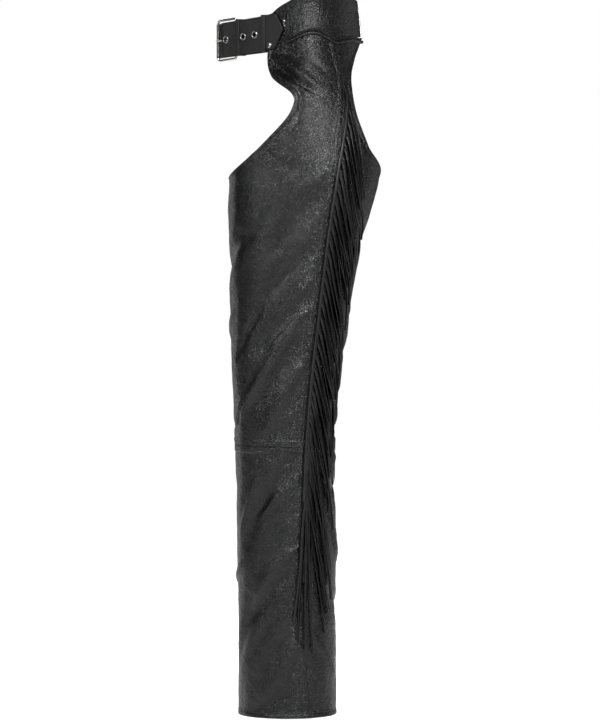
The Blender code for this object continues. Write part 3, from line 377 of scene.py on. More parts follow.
def nickelPlate():
    # zinc casting, polished and nickel plated: bright and slightly warm, with fine rubbing marks
    material, tree, shader = newMaterial("polishedNickelPlate")
    place = addNode(tree, "ShaderNodeTexCoord").outputs["Object"]
    rub = addNode(tree, "ShaderNodeTexNoise", {}, {"Vector": place, "Scale": 1 / 0.003, "Detail": 6.0})
    ramp = addNode(tree, "ShaderNodeValToRGB", {}, {"Fac": rub.outputs["Fac"]})
    ramp.color_ramp.elements[0].color = linear("#c9c7c2")
    ramp.color_ramp.elements[1].color = linear("#e6e4df")
    tree.links.new(ramp.outputs["Color"], shader.inputs["Base Color"])
    gloss = addNode(tree, "ShaderNodeMapRange", {},
                    {"Value": rub.outputs["Fac"], "To Min": 0.12, "To Max": 0.30}).outputs[0]
    tree.links.new(gloss, shader.inputs["Roughness"])
    bump = addNode(tree, "ShaderNodeBump", {}, {"Height": rub.outputs["Fac"], "Distance": 0.00003})
    tree.links.new(bump.outputs[0], shader.inputs["Normal"])
    shader.inputs["Metallic"].default_value = 1.0
    return material


panelLeather = cowhide("pebbledBlackCowhide", {
    "dark": "#050506", "light": "#111113", "pebble": 0.0032, "grain": 0.00017, "pore": 0.00005,
    "crease": 0.0017, "roughness": 0.22, "specular": 0.5})
strapLeather = cowhide("smoothBlackStrapLeather", {
    "dark": "#0b0b0c", "light": "#232325", "pebble": 0.0012, "grain": 0.00007, "pore": 0.00004,
    "crease": 0.0004, "roughness": 0.40, "specular": 0.5})
laceLeather = cowhide("cutBlackLaceLeather", {
    "dark": "#050506", "light": "#141416", "pebble": 0.0012, "grain": 0.00006, "pore": 0.00005,
    "crease": 0.0005, "roughness": 0.34, "specular": 0.5})
thread = waxedThread()
nickel = nickelPlate()
print("materials made")


# ---- walls and stitches ----

def meshObject(name, points, faces, material, relief=None, sharp=50):
    mesh = bpy.data.meshes.new(name)
    mesh.from_pydata(np.asarray(points).tolist(), [], np.asarray(faces).tolist() if not isinstance(faces, list) else faces)
    mesh.update()
    mesh.polygons.foreach_set("use_smooth", np.ones(len(mesh.polygons), bool))
    if relief is not None:
        mesh.attributes.new("relief", "FLOAT", "POINT").data.foreach_set("value", np.asarray(relief, np.float32))
    mesh.materials.append(material)
    piece = bpy.data.objects.new(name, mesh)
    bpy.context.scene.collection.objects.link(piece)
    mesh.set_sharp_from_angle(angle=math.radians(sharp))
    return piece


def wallPiece(name, outer, inner, relief, material, side):
    # a closed wall between two grids of points, with a rim all round
    rows, columns = outer.shape[:2]
    size = rows * columns
    points = np.concatenate([outer.reshape(-1, 3), inner.reshape(-1, 3)])
    points[:, 0] *= side
    index = np.arange(size).reshape(rows, columns)
    front = np.stack([index[:-1, :-1], index[:-1, 1:], index[1:, 1:], index[1:, :-1]], -1).reshape(-1, 4)
    border = np.concatenate([index[0], index[1:, -1], index[-1, -2::-1], index[-2:0:-1, 0]])
    ahead = np.roll(border, -1)
    rim = np.stack([ahead, border, border + size, ahead + size], -1)
    faces = np.concatenate([front, front[:, ::-1] + size, rim])
    corners = points[front]
    facing = np.cross(corners[:, 1] - corners[:, 0], corners[:, 3] - corners[:, 0])
    outward = points[front[:, 0]] - points[front[:, 0] + size]
    if np.sum(facing * outward) < 0:
        faces = faces[:, ::-1]
    # painted shade: the inner face takes the lowest relief, so its colour is painted darkest
    shade = np.concatenate([relief.reshape(-1), np.full(size, -1.0)]) * 1.0
    return meshObject(name, points, faces, material, shade)


stitching = {"pitch": 0.0034, "length": 0.0026, "radius": 0.00036, "height": 0.00012}
threadStore = {}


def stitchRow(group, line, normals, closed=False):
    # evenly spaced stitches along a line on the leather, kept until the thread's mesh is made
    line, normals = np.asarray(line), np.asarray(normals)
    lengths = np.concatenate([[0.0], np.cumsum(np.linalg.norm(np.diff(line, axis=0), axis=1))])
    count = max(int(lengths[-1] / stitching["pitch"]), 1)
    middles = (np.arange(count) + 0.5) * lengths[-1] / count
    centre = np.stack([np.interp(middles, lengths, line[:, i]) for i in range(3)], -1)
    up = unit(np.stack([np.interp(middles, lengths, normals[:, i]) for i in range(3)], -1))
    step = 0.0008
    ahead = np.stack([np.interp(middles + step, lengths, line[:, i]) for i in range(3)], -1)
    behind = np.stack([np.interp(middles - step, lengths, line[:, i]) for i in range(3)], -1)
    along = unit(ahead - behind)
    up = unit(up - along * np.sum(up * along, -1, keepdims=True))
    threadStore.setdefault(group, []).append((centre, along, up))


def sewThreads(group, name, side):
    rows = threadStore[group]
    centre, along, up = (np.concatenate([row[i] for row in rows]) for i in range(3))
    across = np.cross(along, up)
    half, radius, high = stitching["length"] / 2, stitching["radius"], stitching["height"]
    rings = [(-1.0, -1.6, 0.55), (-0.5, 0.8, 1.0), (0.5, 0.8, 1.0), (1.0, -1.6, 0.55)]
    corners = 5
    points = []
    for along1, high1, wide in rings:
        for corner in range(corners):
            turn = 2 * math.pi * corner / corners
            points.append(centre + along * half * along1 + up * (high * high1 + radius * wide * math.cos(turn))
                          + across * radius * wide * math.sin(turn))
    points = np.stack(points, 1)
    each = len(rings) * corners
    faces = []
    for ring in range(len(rings) - 1):
        for corner in range(corners):
            after = (corner + 1) % corners
            faces.append((ring * corners + corner, ring * corners + after,
                          (ring + 1) * corners + after, (ring + 1) * corners + corner))
    everyFace = []
    caps = [tuple(range(corners))[::-1], tuple((len(rings) - 1) * corners + c for c in range(corners))]
    for number in range(len(centre)):
        everyFace += [tuple(number * each + i for i in face) for face in faces + caps]
    flat = points.reshape(-1, 3).copy()
    flat[:, 0] *= side
    # faces point outwards when their ring turns the right way
    first = np.array(everyFace[0])
    middle = flat[:each].mean(0)
    facing = np.cross(flat[first[1]] - flat[first[0]], flat[first[3]] - flat[first[0]])
    if np.dot(facing, flat[first].mean(0) - middle) < 0:
        everyFace = [face[::-1] for face in everyFace]
    return meshObject(name, flat, everyFace, thread, sharp=80)


# ---- leg panels ----

legPanel = {
    "spacing": 0.0042,
    "edgeRound": 0.0006,                     # how far in the cut edge is rounded
    "hemWidth": 0.009, "hemRaise": 0.0007,   # the turned edge
    "bandWidth": 0.0115, "bandRaise": 0.0008,  # the lap over the outseam
    "hemStitch": 0.0072, "bandStitches": (0.0022, 0.0092), "plainStitch": 0.0024, "kneeStitches": (0.0020, 0.0062),
    "groove": 0.00030, "grooveWidth": 0.0007, "hemGroove": 0.00085,
}


def edgeColumns(kind):
    # distances from an edge at which its form needs a line of points
    stitches = {"hem": (legPanel["hemStitch"],), "band": legPanel["bandStitches"], "plain": (legPanel["plainStitch"],),
                "knee": legPanel["kneeStitches"], "bare": ()}[kind]
    width = {"hem": legPanel["hemWidth"], "band": legPanel["bandWidth"], "knee": legPanel["hemWidth"]}.get(kind, 0.0045)
    found = {0.0, 0.0003, 0.0007, 0.0013}
    for stitch in stitches:
        found |= {stitch + shift for shift in (-0.0010, -0.0005, 0.0, 0.0005, 0.0010)}
    found |= {width - 0.0012, width - 0.0004, width + 0.0004, width + 0.0012}
    ordered = sorted(found)
    kept = [ordered[0]]
    for value in ordered[1:]:
        if value - kept[-1] > 0.00019 or any(abs(value - s) < 1e-9 for s in stitches):
            kept.append(value)
    return np.array(kept), [int(np.argmin(abs(np.array(kept) - s))) for s in stitches]


def edgeForm(kind, distance):
    # height of the outer face above the plain leather, by the distance from the edge
    form = np.zeros_like(distance)
    if kind in ("hem", "band", "knee"):
        width = legPanel["bandWidth"] if kind == "band" else legPanel["hemWidth"]
        raiseBy = {"band": legPanel["bandRaise"], "hem": legPanel["hemRaise"], "knee": 0.0010}[kind]
        form += raiseBy * (1 - rise(distance, width - 0.0014, width + 0.0012))
    stitches = {"hem": (legPanel["hemStitch"],), "band": legPanel["bandStitches"], "plain": (legPanel["plainStitch"],),
                "knee": legPanel["kneeStitches"], "bare": ()}[kind]
    for stitch in stitches:
        deep = legPanel["hemGroove"] if kind == "hem" else legPanel["groove"]
        form -= deep * np.exp(-((distance - stitch) / legPanel["grooveWidth"]) ** 2)
    lost = 1 - np.sqrt(np.clip(distance / legPanel["edgeRound"], 0.0, 1.0) * (2 - np.clip(distance / legPanel["edgeRound"], 0.0, 1.0)))
    return form - 0.0007 * lost


def spread(length, first, last, spacing):
    # positions along a length: the lines of both edges, and even ones between them
    start, end = first[-1] + spacing * 0.6, length - last[-1] - spacing * 0.6
    count = max(int(math.ceil((end - start) / spacing)), 2)
    return np.concatenate([first, np.linspace(start, end, count + 1), length - last[::-1]])


def panelPlan(half, part):
    direction = 1.0 if half == "front" else -1.0
    gap = garment["seamGap"] / 2
    opening = np.array(garment["frontOpening" if half == "front" else "backOpening"])
    if part == "thigh":
        low, high = garment["kneeHeight"] + gap, opening[-1, 0]
        rowKinds = ("knee", "bare")
    else:
        low, high = garment["hemHeight"], garment["kneeHeight"] - gap
        rowKinds = ("hem", "knee")
    rowFirst, firstMarks = edgeColumns(rowKinds[0])
    rowLast, lastMarks = edgeColumns(rowKinds[1])
    seamHeights = low + spread(high - low, rowFirst, rowLast, legPanel["spacing"])
    return direction, gap, opening, seamHeights, rowKinds, firstMarks, [len(seamHeights) - 1 - m for m in lastMarks], low, high


def buildPanel(sideName, half, part):
    direction, gap, opening, seamHeights, rowKinds, firstMarks, lastMarks, low, high = panelPlan(half, part)
    seamAngles = outseamAngle(seamHeights)
    seamAngles = seamAngles + direction * gapAngle(seamAngles, seamHeights, gap)
    crotch = opening[0, 0]
    below = np.full(len(seamHeights), direction * 180.0)
    below = below - direction * gapAngle(below, seamHeights, gap)
    if part == "thigh":
        curve = curveThrough(opening, 0, seamHeights)
        open_ = seamHeights > crotch
        straightHeights = low + (seamHeights - low) / (crotch - low) * (opening[0, 1] - low)
        edgeHeights = np.where(open_, curve[:, 1], straightHeights)
        edgeAngles = np.where(open_, curve[:, 2], below)
        edgeAngles = np.where(np.abs(edgeAngles) > np.abs(below), below, edgeAngles)
    else:
        open_ = np.zeros(len(seamHeights), bool)
        edgeHeights, edgeAngles = seamHeights.copy(), below
    seamKind = "band" if half == "front" else "bare"
    columnFirst, seamMarks = edgeColumns(seamKind)
    edgeFirst, edgeMarks = edgeColumns("hem")
    trial = np.linspace(0, 1, 121)
    widest = 0
    rowsData = []
    for row, (sh, sa, eh, ea) in enumerate(zip(seamHeights, seamAngles, edgeHeights, edgeAngles)):
        angles, heights = sa + trial * (ea - sa), sh + trial * (eh - sh)
        line = formPlace(angles, heights)
        lengths = np.concatenate([[0.0], np.cumsum(np.linalg.norm(np.diff(line, axis=0), axis=1))])
        rowsData.append(lengths)
        widest = max(widest, lengths[-1])
    middle = int(widest / legPanel["spacing"] * 0.82)
    shares, seamDistance, edgeDistance = [], [], []
    for lengths in rowsData:
        total = lengths[-1]
        start, end = columnFirst[-1] + 0.002, total - edgeFirst[-1] - 0.002
        at = np.concatenate([columnFirst, np.linspace(start, end, middle), total - edgeFirst[::-1]])
        shares.append(np.interp(at, lengths, trial))
        seamDistance.append(at)
        edgeDistance.append(total - at)
    shares, seamDistance, edgeDistance = np.array(shares), np.array(seamDistance), np.array(edgeDistance)
    angles = seamAngles[:, None] + shares * (edgeAngles - seamAngles)[:, None]
    heights = seamHeights[:, None] + shares * (edgeHeights - seamHeights)[:, None]
    if part == "thigh":
        # the top rows turn into the line of the yoke
        weight = rise(seamHeights, -0.100, high)[:, None]
        last = seamHeights[-1] + shares * (edgeHeights[-1] - seamHeights[-1])
        heights = heights + weight * (yokeLow(angles) - garment["seamGap"] - last)
    # heights of the outer face: seam, free edge or inseam, and the rows at both ends
    edgeKindOpen = edgeForm("hem", edgeDistance)
    edgeKindSewn = edgeForm("plain", edgeDistance)
    openness = rise(seamHeights, crotch - 0.004, crotch + 0.012)[:, None] if part == "thigh" else 0.0
    form = edgeForm(seamKind, seamDistance) + edgeKindSewn + openness * (edgeKindOpen - edgeKindSewn)
    form = form + edgeForm(rowKinds[0], (seamHeights - low)[:, None]) + edgeForm(rowKinds[1], (high - seamHeights)[:, None])
    # puckers that the stitches pull in beside the seams
    pull = np.exp(-((seamDistance - 0.013) / 0.006) ** 2) if half == "front" else 0.0
    form = form + pull * 0.00028 * np.sin(heights * 2 * math.pi / 0.0135 + 1.5 * np.sin(heights * 41))
    folds = foldDepth(angles, heights)
    quiet = rise(seamDistance, 0.0, 0.012) * rise(edgeDistance, 0.0, 0.010)
    folds = folds * (0.35 + 0.65 * quiet)
    place, normal = formPlace(angles, heights), formNormal(angles, heights)
    outer = place + normal * (form + folds)[..., None]
    innerLift = 0.0003 * (1 - rise(np.minimum(np.minimum(seamDistance, edgeDistance),
                                              np.minimum(seamHeights - low, high - seamHeights)[:, None]), 0.0, 0.0008))
    inner = place + normal * (folds - garment["wall"] + innerLift)[..., None]
    # painted shade: this relief also darkens the colour in fold troughs and stitch grooves and lightens it on ridges
    relief = (folds + form) * 1000
    name = f"{sideName}{half.capitalize()}{part.capitalize()}Leather"
    piece = wallPiece(name, outer, inner, relief, panelLeather, sides[sideName])
    group = f"{sideName}{half.capitalize()}{part.capitalize()}"
    if half == "front":
        for mark in seamMarks:
            stitchRow(group, outer[2:-2, mark], normal[2:-2, mark])
    columns = outer.shape[1]
    if part == "thigh":
        openRows = np.where(seamHeights > crotch + 0.004)[0]
        column = columns - 1 - edgeMarks[0]
        stitchRow(group, outer[openRows[0]:-3, column], normal[openRows[0]:-3, column])
    for mark in firstMarks + lastMarks:
        stitchRow(group, outer[mark, 2:-2], normal[mark, 2:-2])
    mid = place
    width = float(np.max(np.linalg.norm(np.diff(mid, axis=1), axis=2).sum(1)))
    length = float(np.linalg.norm(np.diff(mid[:, 0], axis=0), axis=1).sum())
    a = mid[1:, :-1] - mid[:-1, :-1]
    b = mid[:-1, 1:] - mid[:-1, :-1]
    area = float(np.linalg.norm(np.cross(a, b), axis=-1).sum())
    print(f"{name} flat {width:.3f} x {length:.3f} m, area {area:.4f}")
    return piece, (width, length, area), group


def finishPiece(piece, slotName, *nodes):
    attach(piece, "root")
    if nodes:
        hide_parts(*nodes)
    return piece


panelNodes = {("front", "thigh"): "front_thigh", ("back", "thigh"): "back_thigh",
              ("front", "shin"): "front_shin", ("back", "shin"): "back_calf"}
for sideName in sides:
    for (half, part), node in panelNodes.items():
        piece, cut, group = buildPanel(sideName, half, part)
        sewn = sewThreads(group, f"{group}Stitches", sides[sideName])
        finishPiece(piece, "black_leather", f"{sideName}_{node}")
        finishPiece(sewn, "black_leather")
print("leg panels made")


# ---- yoke ----

yoke = {
    "spacing": 0.0032, "frontAngle": 17.6, "creaseAngle": 2.2, "creaseRaise": 0.0006,
    "welt": 0.0052, "weltRaise": 0.0028, "ridgeRaise": 0.0019,
    "lowStitch": 0.0092, "topStitch": 0.0070, "creaseStitch": 0.0040, "topRaise": 0.0011,
}


def buildYoke(sideName):
    centre = -90.0 + float(gapAngle(-90.0, 0.0, garment["seamGap"] / 2))
    trial = np.linspace(centre, yoke["frontAngle"], 400)
    line = formPlace(trial, np.zeros_like(trial))
    lengths = np.concatenate([[0.0], np.cumsum(np.linalg.norm(np.diff(line, axis=0), axis=1))])
    crease = float(np.interp(yoke["creaseAngle"], trial, lengths))
    seamAt = float(np.interp(-38.9, trial, lengths))
    at = spread(lengths[-1], np.array([0, .0003, .0007, .0013, .0019, .0024, .0029]),
                np.array([0, .0003, .0007, .0013]), yoke["spacing"])
    extra = [crease + shift for shift in (-.0046, -.0040, -.0034, -.0012, -.0006, -.0002, .0002, .0006, .0012)]
    at = np.unique(np.concatenate([at, extra, [seamAt - .0008, seamAt, seamAt + .0008]]).round(6))
    angles = np.interp(at, lengths, trial)
    low, high = yokeLow(angles), yokeHigh(angles)
    fromLow = np.array([0, .0003, .0008, .0015, .0024, .0034, .0043, .0050, .0055, .0060, .0068, .0076, .0083,
                        .0087, .0092, .0097, .0104, .0120])
    fromHigh = np.array([0, .0003, .0007, .0013, .0030, .0060, .0065, .0070, .0075, .0080, .0090, .0100])
    shares = np.linspace(0, 1, 14)[1:-1]
    heights = [low + d for d in fromLow]
    bottom, top = low + fromLow[-1], high - fromHigh[-1]
    heights += [bottom + s * (top - bottom) for s in shares]
    heights += [high - d for d in fromHigh[::-1]]
    heights = np.array(heights)
    angleGrid = np.broadcast_to(angles, heights.shape)
    dLow, dHigh = heights - low, high - heights
    dCrease = np.broadcast_to(crease - at, heights.shape)
    dBack, dFront = np.broadcast_to(at, heights.shape), np.broadcast_to(lengths[-1] - at, heights.shape)
    behind = rise(dCrease, -0.0005, 0.0005)
    form = yoke["creaseRaise"] * behind
    welt = np.sqrt(np.clip(1 - ((dLow - yoke["welt"] / 2) / (yoke["welt"] / 2)) ** 2, 0, 1))
    form = form + yoke["weltRaise"] * welt * (0.55 + 0.45 * behind)
    form = form + yoke["ridgeRaise"] * np.exp(-((dLow - 0.0074) / 0.0013) ** 2)
    form = form - 0.00035 * np.exp(-((dLow - yoke["lowStitch"]) / 0.0006) ** 2)
    form = form + yoke["topRaise"] * (1 - rise(dHigh, 0.0086, 0.0100)) * 0.6
    form = form - 0.00035 * np.exp(-((dHigh - yoke["topStitch"]) / 0.0007) ** 2)
    form = form - 0.00030 * np.exp(-((dCrease - yoke["creaseStitch"]) / 0.0007) ** 2)
    edge = np.minimum(np.minimum(dHigh, dFront), dBack)
    form = form - 0.0007 * (1 - np.sqrt(np.clip(edge / 0.0006, 0, 1)))
    # soft hollows of the shaped waist
    around = np.radians(angleGrid) * 0.1
    soft = 0.0007 * np.sin(around * 70 + 0.5) * np.sin((heights + 0.03) * 55) * rise(np.minimum(dLow, dHigh), 0.006, 0.02)
    soft = soft - 0.0010 * np.exp(-((around + 0.030) / 0.006) ** 2) * rise(dLow, 0.008, 0.02)
    place, normal = formPlace(angleGrid, heights), formNormal(angleGrid, heights)
    outer = place + normal * (form + soft)[..., None]
    inner = place + normal * (soft - garment["wall"])[..., None]
    # painted shade: this relief darkens the colour in grooves and soft hollows and lightens it on the welt and ridges
    piece = wallPiece(f"{sideName}YokeLeather", outer, inner, (form + soft) * 1000, panelLeather, sides[sideName])
    group = f"{sideName}Yoke"
    lowRow = int(np.argmin(abs(fromLow - yoke["lowStitch"])))
    topRow = len(heights) - 1 - int(np.argmin(abs(fromHigh - yoke["topStitch"])))
    creaseColumn = int(np.argmin(abs(at - (crease - yoke["creaseStitch"]))))
    backColumn = int(np.argmin(abs(at - 0.0024)))
    stitchRow(group, outer[lowRow, 3:creaseColumn], normal[lowRow, 3:creaseColumn])
    stitchRow(group, outer[topRow, 3:-3], normal[topRow, 3:-3])
    stitchRow(group, outer[lowRow:topRow, creaseColumn], normal[lowRow:topRow, creaseColumn])
    stitchRow(group, outer[lowRow:topRow, backColumn], normal[lowRow:topRow, backColumn])
    sewn = sewThreads(group, f"{group}Stitches", sides[sideName])
    a = place[1:, :-1] - place[:-1, :-1]
    b = place[:-1, 1:] - place[:-1, :-1]
    area = float(np.linalg.norm(np.cross(a, b), axis=-1).sum())
    width = float(lengths[-1])
    length = float(np.max(high) - np.min(low))
    print(f"yoke flat {width:.3f} x {length:.3f} m, area {area:.4f}")
    finishPiece(piece, "black_leather", f"{sideName}_yoke")
    finishPiece(sewn, "black_leather")
    return piece, (width, length, area), sewn


yokes = {sideName: buildYoke(sideName) for sideName in sides}
print("yokes made")


# ---- fringe ----

fringe = {
    "top": -0.112, "end": -0.722, "stripClearance": 0.0010, "spreadFrom": -36.0, "spread": 0.000045,
    "bandClearance": 0.0012, "hipClearance": 0.0034, "hipHeight": -0.200, "hipSpan": 0.060,
    "stripStart": 0.0012, "stripWidth": 0.0042, "layerStep": 0.0033, "width": 0.0047, "thickness": 0.0013,
    "bend": 0.0020, "bendDrop": 0.0012, "wrap": 0.93, "steps": 19, "tipRoom": 0.009, "edgeRoom": 0.008,
    # below this height the laces part, and hang from straight down to far back
    "partHeight": -0.490, "partTilts": (-7.5, -1.0),
    # root height, pitch, tilt from upright, length
    "strands": [
        (-0.722, 0.0062, 9.0, 0.225), (-0.640, 0.0080, 9.8, 0.215), (-0.580, 0.0130, 10.6, 0.195),
        (-0.500, 0.0190, 10.8, 0.176), (-0.400, 0.0190, 10.2, 0.170), (-0.250, 0.0190, 9.2, 0.160),
        (-0.112, 0.0190, 8.4, 0.150),
    ],
    # name, drop of its first root, added tilt, tilt of its last strand, seed
    "layers": [("Under", 0.0, -1.0, -3.6, 11), ("Over", 0.0088, 0.9, 2.6, 12)],
}


def fringePlace(y, height, out):
    centreY, halfDepth, centreX, reachOut, reachIn = sectionAt(height)
    sine = (centreY - y) / halfDepth
    kept = np.maximum(sine, -fringe["wrap"])
    angle = np.degrees(np.arcsin(kept))
    out = out + np.maximum(0.0, fringe["spreadFrom"] - angle) * fringe["spread"]
    out = out + fringe["hipClearance"] * np.exp(-((height - fringe["hipHeight"]) / fringe["hipSpan"]) ** 2)
    nearSeam = angle > outseamAngle(height) - gapAngle(angle, height, fringe["stripStart"])
    out = out + np.where(nearSeam, fringe["bandClearance"], 0.0)
    normal = formNormal(angle, height)
    backward = unit(formPlace(angle - 0.5, height) - formPlace(angle + 0.5, height))
    beyond = (kept - sine) * halfDepth / np.maximum(backward[..., 1], 0.1)
    return formPlace(angle, height) + normal * out[..., None] + backward * beyond[..., None], normal, backward


def buildFringe(sideName, number):
    layerName, startDrop, extraTilt, lastTilt, seed = fringe["layers"][number]
    chance, bends = random.Random(seed), random.Random(seed + 40)
    out = fringe["stripClearance"] + number * fringe["layerStep"]
    table = np.array(fringe["strands"])
    roots, height = [], fringe["top"] - startDrop
    while height > fringe["end"]:
        roots.append(height)
        height -= float(np.interp(height, table[:, 0], table[:, 1]))
    points, faces = [], []
    # the strip that the strands are cut from, sewn in beside the outseam
    stripHeights = np.linspace(roots[0] + 0.003, roots[-1] - 0.003, 140)
    seam = outseamAngle(stripHeights)
    ring = []
    for distance, lift in ((0.0, 0.2), (0.0, 0.8), (0.0006, 1.0), (0.9, 1.0), (1.0, 0.8), (1.0, 0.2), (0.9, 0.0), (0.0006, 0.0)):
        run = fringe["stripStart"] + (distance if distance < 0.01 else distance * fringe["stripWidth"])
        angle = seam - gapAngle(seam, stripHeights, run)
        ring.append(formPlace(angle, stripHeights) + formNormal(angle, stripHeights) * (out + lift * fringe["thickness"]))
    ringed = np.stack(ring, 1)
    count = ringed.shape[1]
    points += ringed.reshape(-1, 3).tolist()
    for row in range(len(stripHeights) - 1):
        for corner in range(count):
            after = (corner + 1) % count
            faces.append((row * count + corner, row * count + after, (row + 1) * count + after, (row + 1) * count + corner))
    faces.append(tuple(range(count))[::-1])
    faces.append(tuple((len(stripHeights) - 1) * count + c for c in range(count)))
    # the strands
    for place, root in enumerate(roots):
        tilt = float(np.interp(root, table[:, 0], table[:, 2])) + extraTilt + chance.uniform(-1.6, 1.6)
        length = float(np.interp(root, table[:, 0], table[:, 3])) * chance.uniform(0.86, 1.08)
        parted = rise(-root, -fringe["partHeight"], -fringe["end"])
        if place % 2:
            tilt += float(parted) * (chance.uniform(*fringe["partTilts"]) - tilt)
        if place == len(roots) - 1:
            tilt = lastTilt
        lean = math.radians(tilt)
        seamHere = float(outseamAngle(root))
        middle = seamHere - float(gapAngle(seamHere, root, fringe["stripStart"] + fringe["stripWidth"] * 0.85))
        rootY = float(formPlace(middle, root)[1])
        run = np.linspace(0, 1, fringe["steps"]) ** 1.15 * (length - fringe["bend"])
        share = run / run[-1]
        wave = bends.uniform(-0.0022, 0.0022) * np.sin(share * math.pi * bends.uniform(1.2, 2.4)) * share
        sag = -math.sin(lean) * length * bends.uniform(0.0, 0.16) * share ** 2
        y = rootY + fringe["bend"] * rise(share, -0.02, 0.06) + math.sin(lean) * run + wave + sag
        z = root - fringe["bendDrop"] * rise(share, -0.02, 0.06) - math.cos(lean) * run
        # laces that reach the back of the leg hang down along it
        section = sectionAt(z)
        limit = section[0] + section[1] - fringe["tipRoom"] - fringe["edgeRoom"]
        beyond = np.maximum(y - limit, 0.0)
        y = np.minimum(y, limit) + fringe["tipRoom"] * (1 - np.exp(-beyond / fringe["tipRoom"]))
        lift = np.full_like(run, out) + bends.uniform(0.0, 0.0007) * share
        line, normal, backward = fringePlace(y, z, lift)
        along = unit(np.gradient(line, axis=0))
        along[0] = unit(along[0] + backward[0] * 1.1)
        across = unit(np.cross(along, normal))
        roll = np.radians(bends.uniform(22, 58)) * rise(share, 0.03, 0.30)
        roll = roll + np.radians(bends.uniform(-14, 14)) * np.sin(share * 3.0)
        wide = across * np.cos(roll)[:, None] + normal * np.sin(roll)[:, None]
        thick = normal * np.cos(roll)[:, None] - across * np.sin(roll)[:, None]
        half = fringe["width"] / 2 * (1 - 0.12 * share)[:, None]
        deep = fringe["thickness"]
        base = line + normal * deep / 2
        shape = [(-1.0, -0.28), (-0.82, -0.5), (0.82, -0.5), (1.0, -0.28), (1.0, 0.28), (0.82, 0.5), (-0.82, 0.5), (-1.0, 0.28)]
        start = len(points)
        rings = np.stack([base + wide * half * a + thick * deep * b for a, b in shape], 1)
        points += rings.reshape(-1, 3).tolist()
        corners = len(shape)
        for row in range(len(run) - 1):
            for corner in range(corners):
                after = (corner + 1) % corners
                faces.append((start + row * corners + corner, start + row * corners + after,
                              start + (row + 1) * corners + after, start + (row + 1) * corners + corner))
        faces.append(tuple(start + c for c in range(corners))[::-1])
        faces.append(tuple(start + (len(run) - 1) * corners + c for c in range(corners)))
    points = np.array(points)
    points[:, 0] *= sides[sideName]
    piece = meshObject(f"{sideName}Fringe{layerName}Laces", points, faces, laceLeather, np.zeros(len(points)), sharp=40)
    deselectAll()
    piece.select_set(True)
    bpy.context.view_layer.objects.active = piece
    bpy.ops.object.mode_set(mode="EDIT")
    bpy.ops.mesh.select_all(action="SELECT")
    bpy.ops.mesh.normals_make_consistent(inside=False)
    bpy.ops.object.mode_set(mode="OBJECT")
    finishPiece(piece, "black_leather", f"{sideName}_fringe_{layerName.lower()}")
    return piece


fringes = {sideName: [buildFringe(sideName, number) for number in range(2)] for sideName in sides}
print("fringe made")


# ---- belt straps ----

belt = {
    "height": -0.0195, "drop": -0.106, "dropFrom": 0.040,
    "tongueOut": 0.0029, "tongueHalf": 0.0258, "tongueThickness": 0.0020,
    # distance along the belt from the hip, and out from the yoke
    "tonguePath": [
        (0.0378, 0.0029), (0.0580, 0.0029), (0.0955, 0.0029), (0.1187, 0.0029), (0.1480, 0.0029),
        (0.1620, 0.0033), (0.1665, 0.0002), (0.1718, -0.0042), (0.1765, -0.0050),
    ],
    "bellyFront": -0.1105, "bellyCorner": (-0.012, 0.003),
    "rightRuns": (0.150, 0.120, 0.085, 0.058, 0.0378),
    "tipRises": (-0.0258, -0.0145, 0.0015, 0.0258), "tipPulls": (0.0190, 0.0100, 0.0, 0.0142),
    "strapHalf": 0.0250, "strapThickness": 0.0018,
    "strapFace": [(0.0460, -0.0033), (0.0700, -0.0029), (0.1000, -0.0027), (0.1280, -0.0019)],
    "strapBack": [(0.1280, -0.0054), (0.1040, -0.0051)],
    "barRun": 0.1400, "barOut": -0.0042, "barRadius": 0.0018, "turnRadius": 0.0031,
    "stitchIn": 0.0030, "edgeRound": 0.0009,
}


def beltPlace(run, out, rising=0.0):
    place = beltStart + beltAlong * run + beltOut * out
    return np.array([place[0], place[1], belt["height"] + belt["drop"] * (run - belt["dropFrom"]) + rising])


def beltMatrix(run, out, rising=0.0):
    # X along the belt, Y out from it, Z up
    axes = Matrix((Vector(beltAlong), Vector(beltOut), Vector((0, 0, 1)))).transposed().to_4x4()
    return Matrix.Translation(Vector(beltPlace(run, out, rising))) @ axes


def denseLine(points, rounding=6):
    # straight stretches with their corners rounded off, at even steps
    points = np.array(points)
    lengths = np.concatenate([[0.0], np.cumsum(np.linalg.norm(np.diff(points, axis=0), axis=1))])
    at = np.arange(0, lengths[-1], 0.0008)
    line = np.stack([np.interp(at, lengths, points[:, i]) for i in range(3)], -1)
    for _ in range(rounding):
        line[1:-1] = (line[:-2] + 2 * line[1:-1] + line[2:]) / 4
    return line


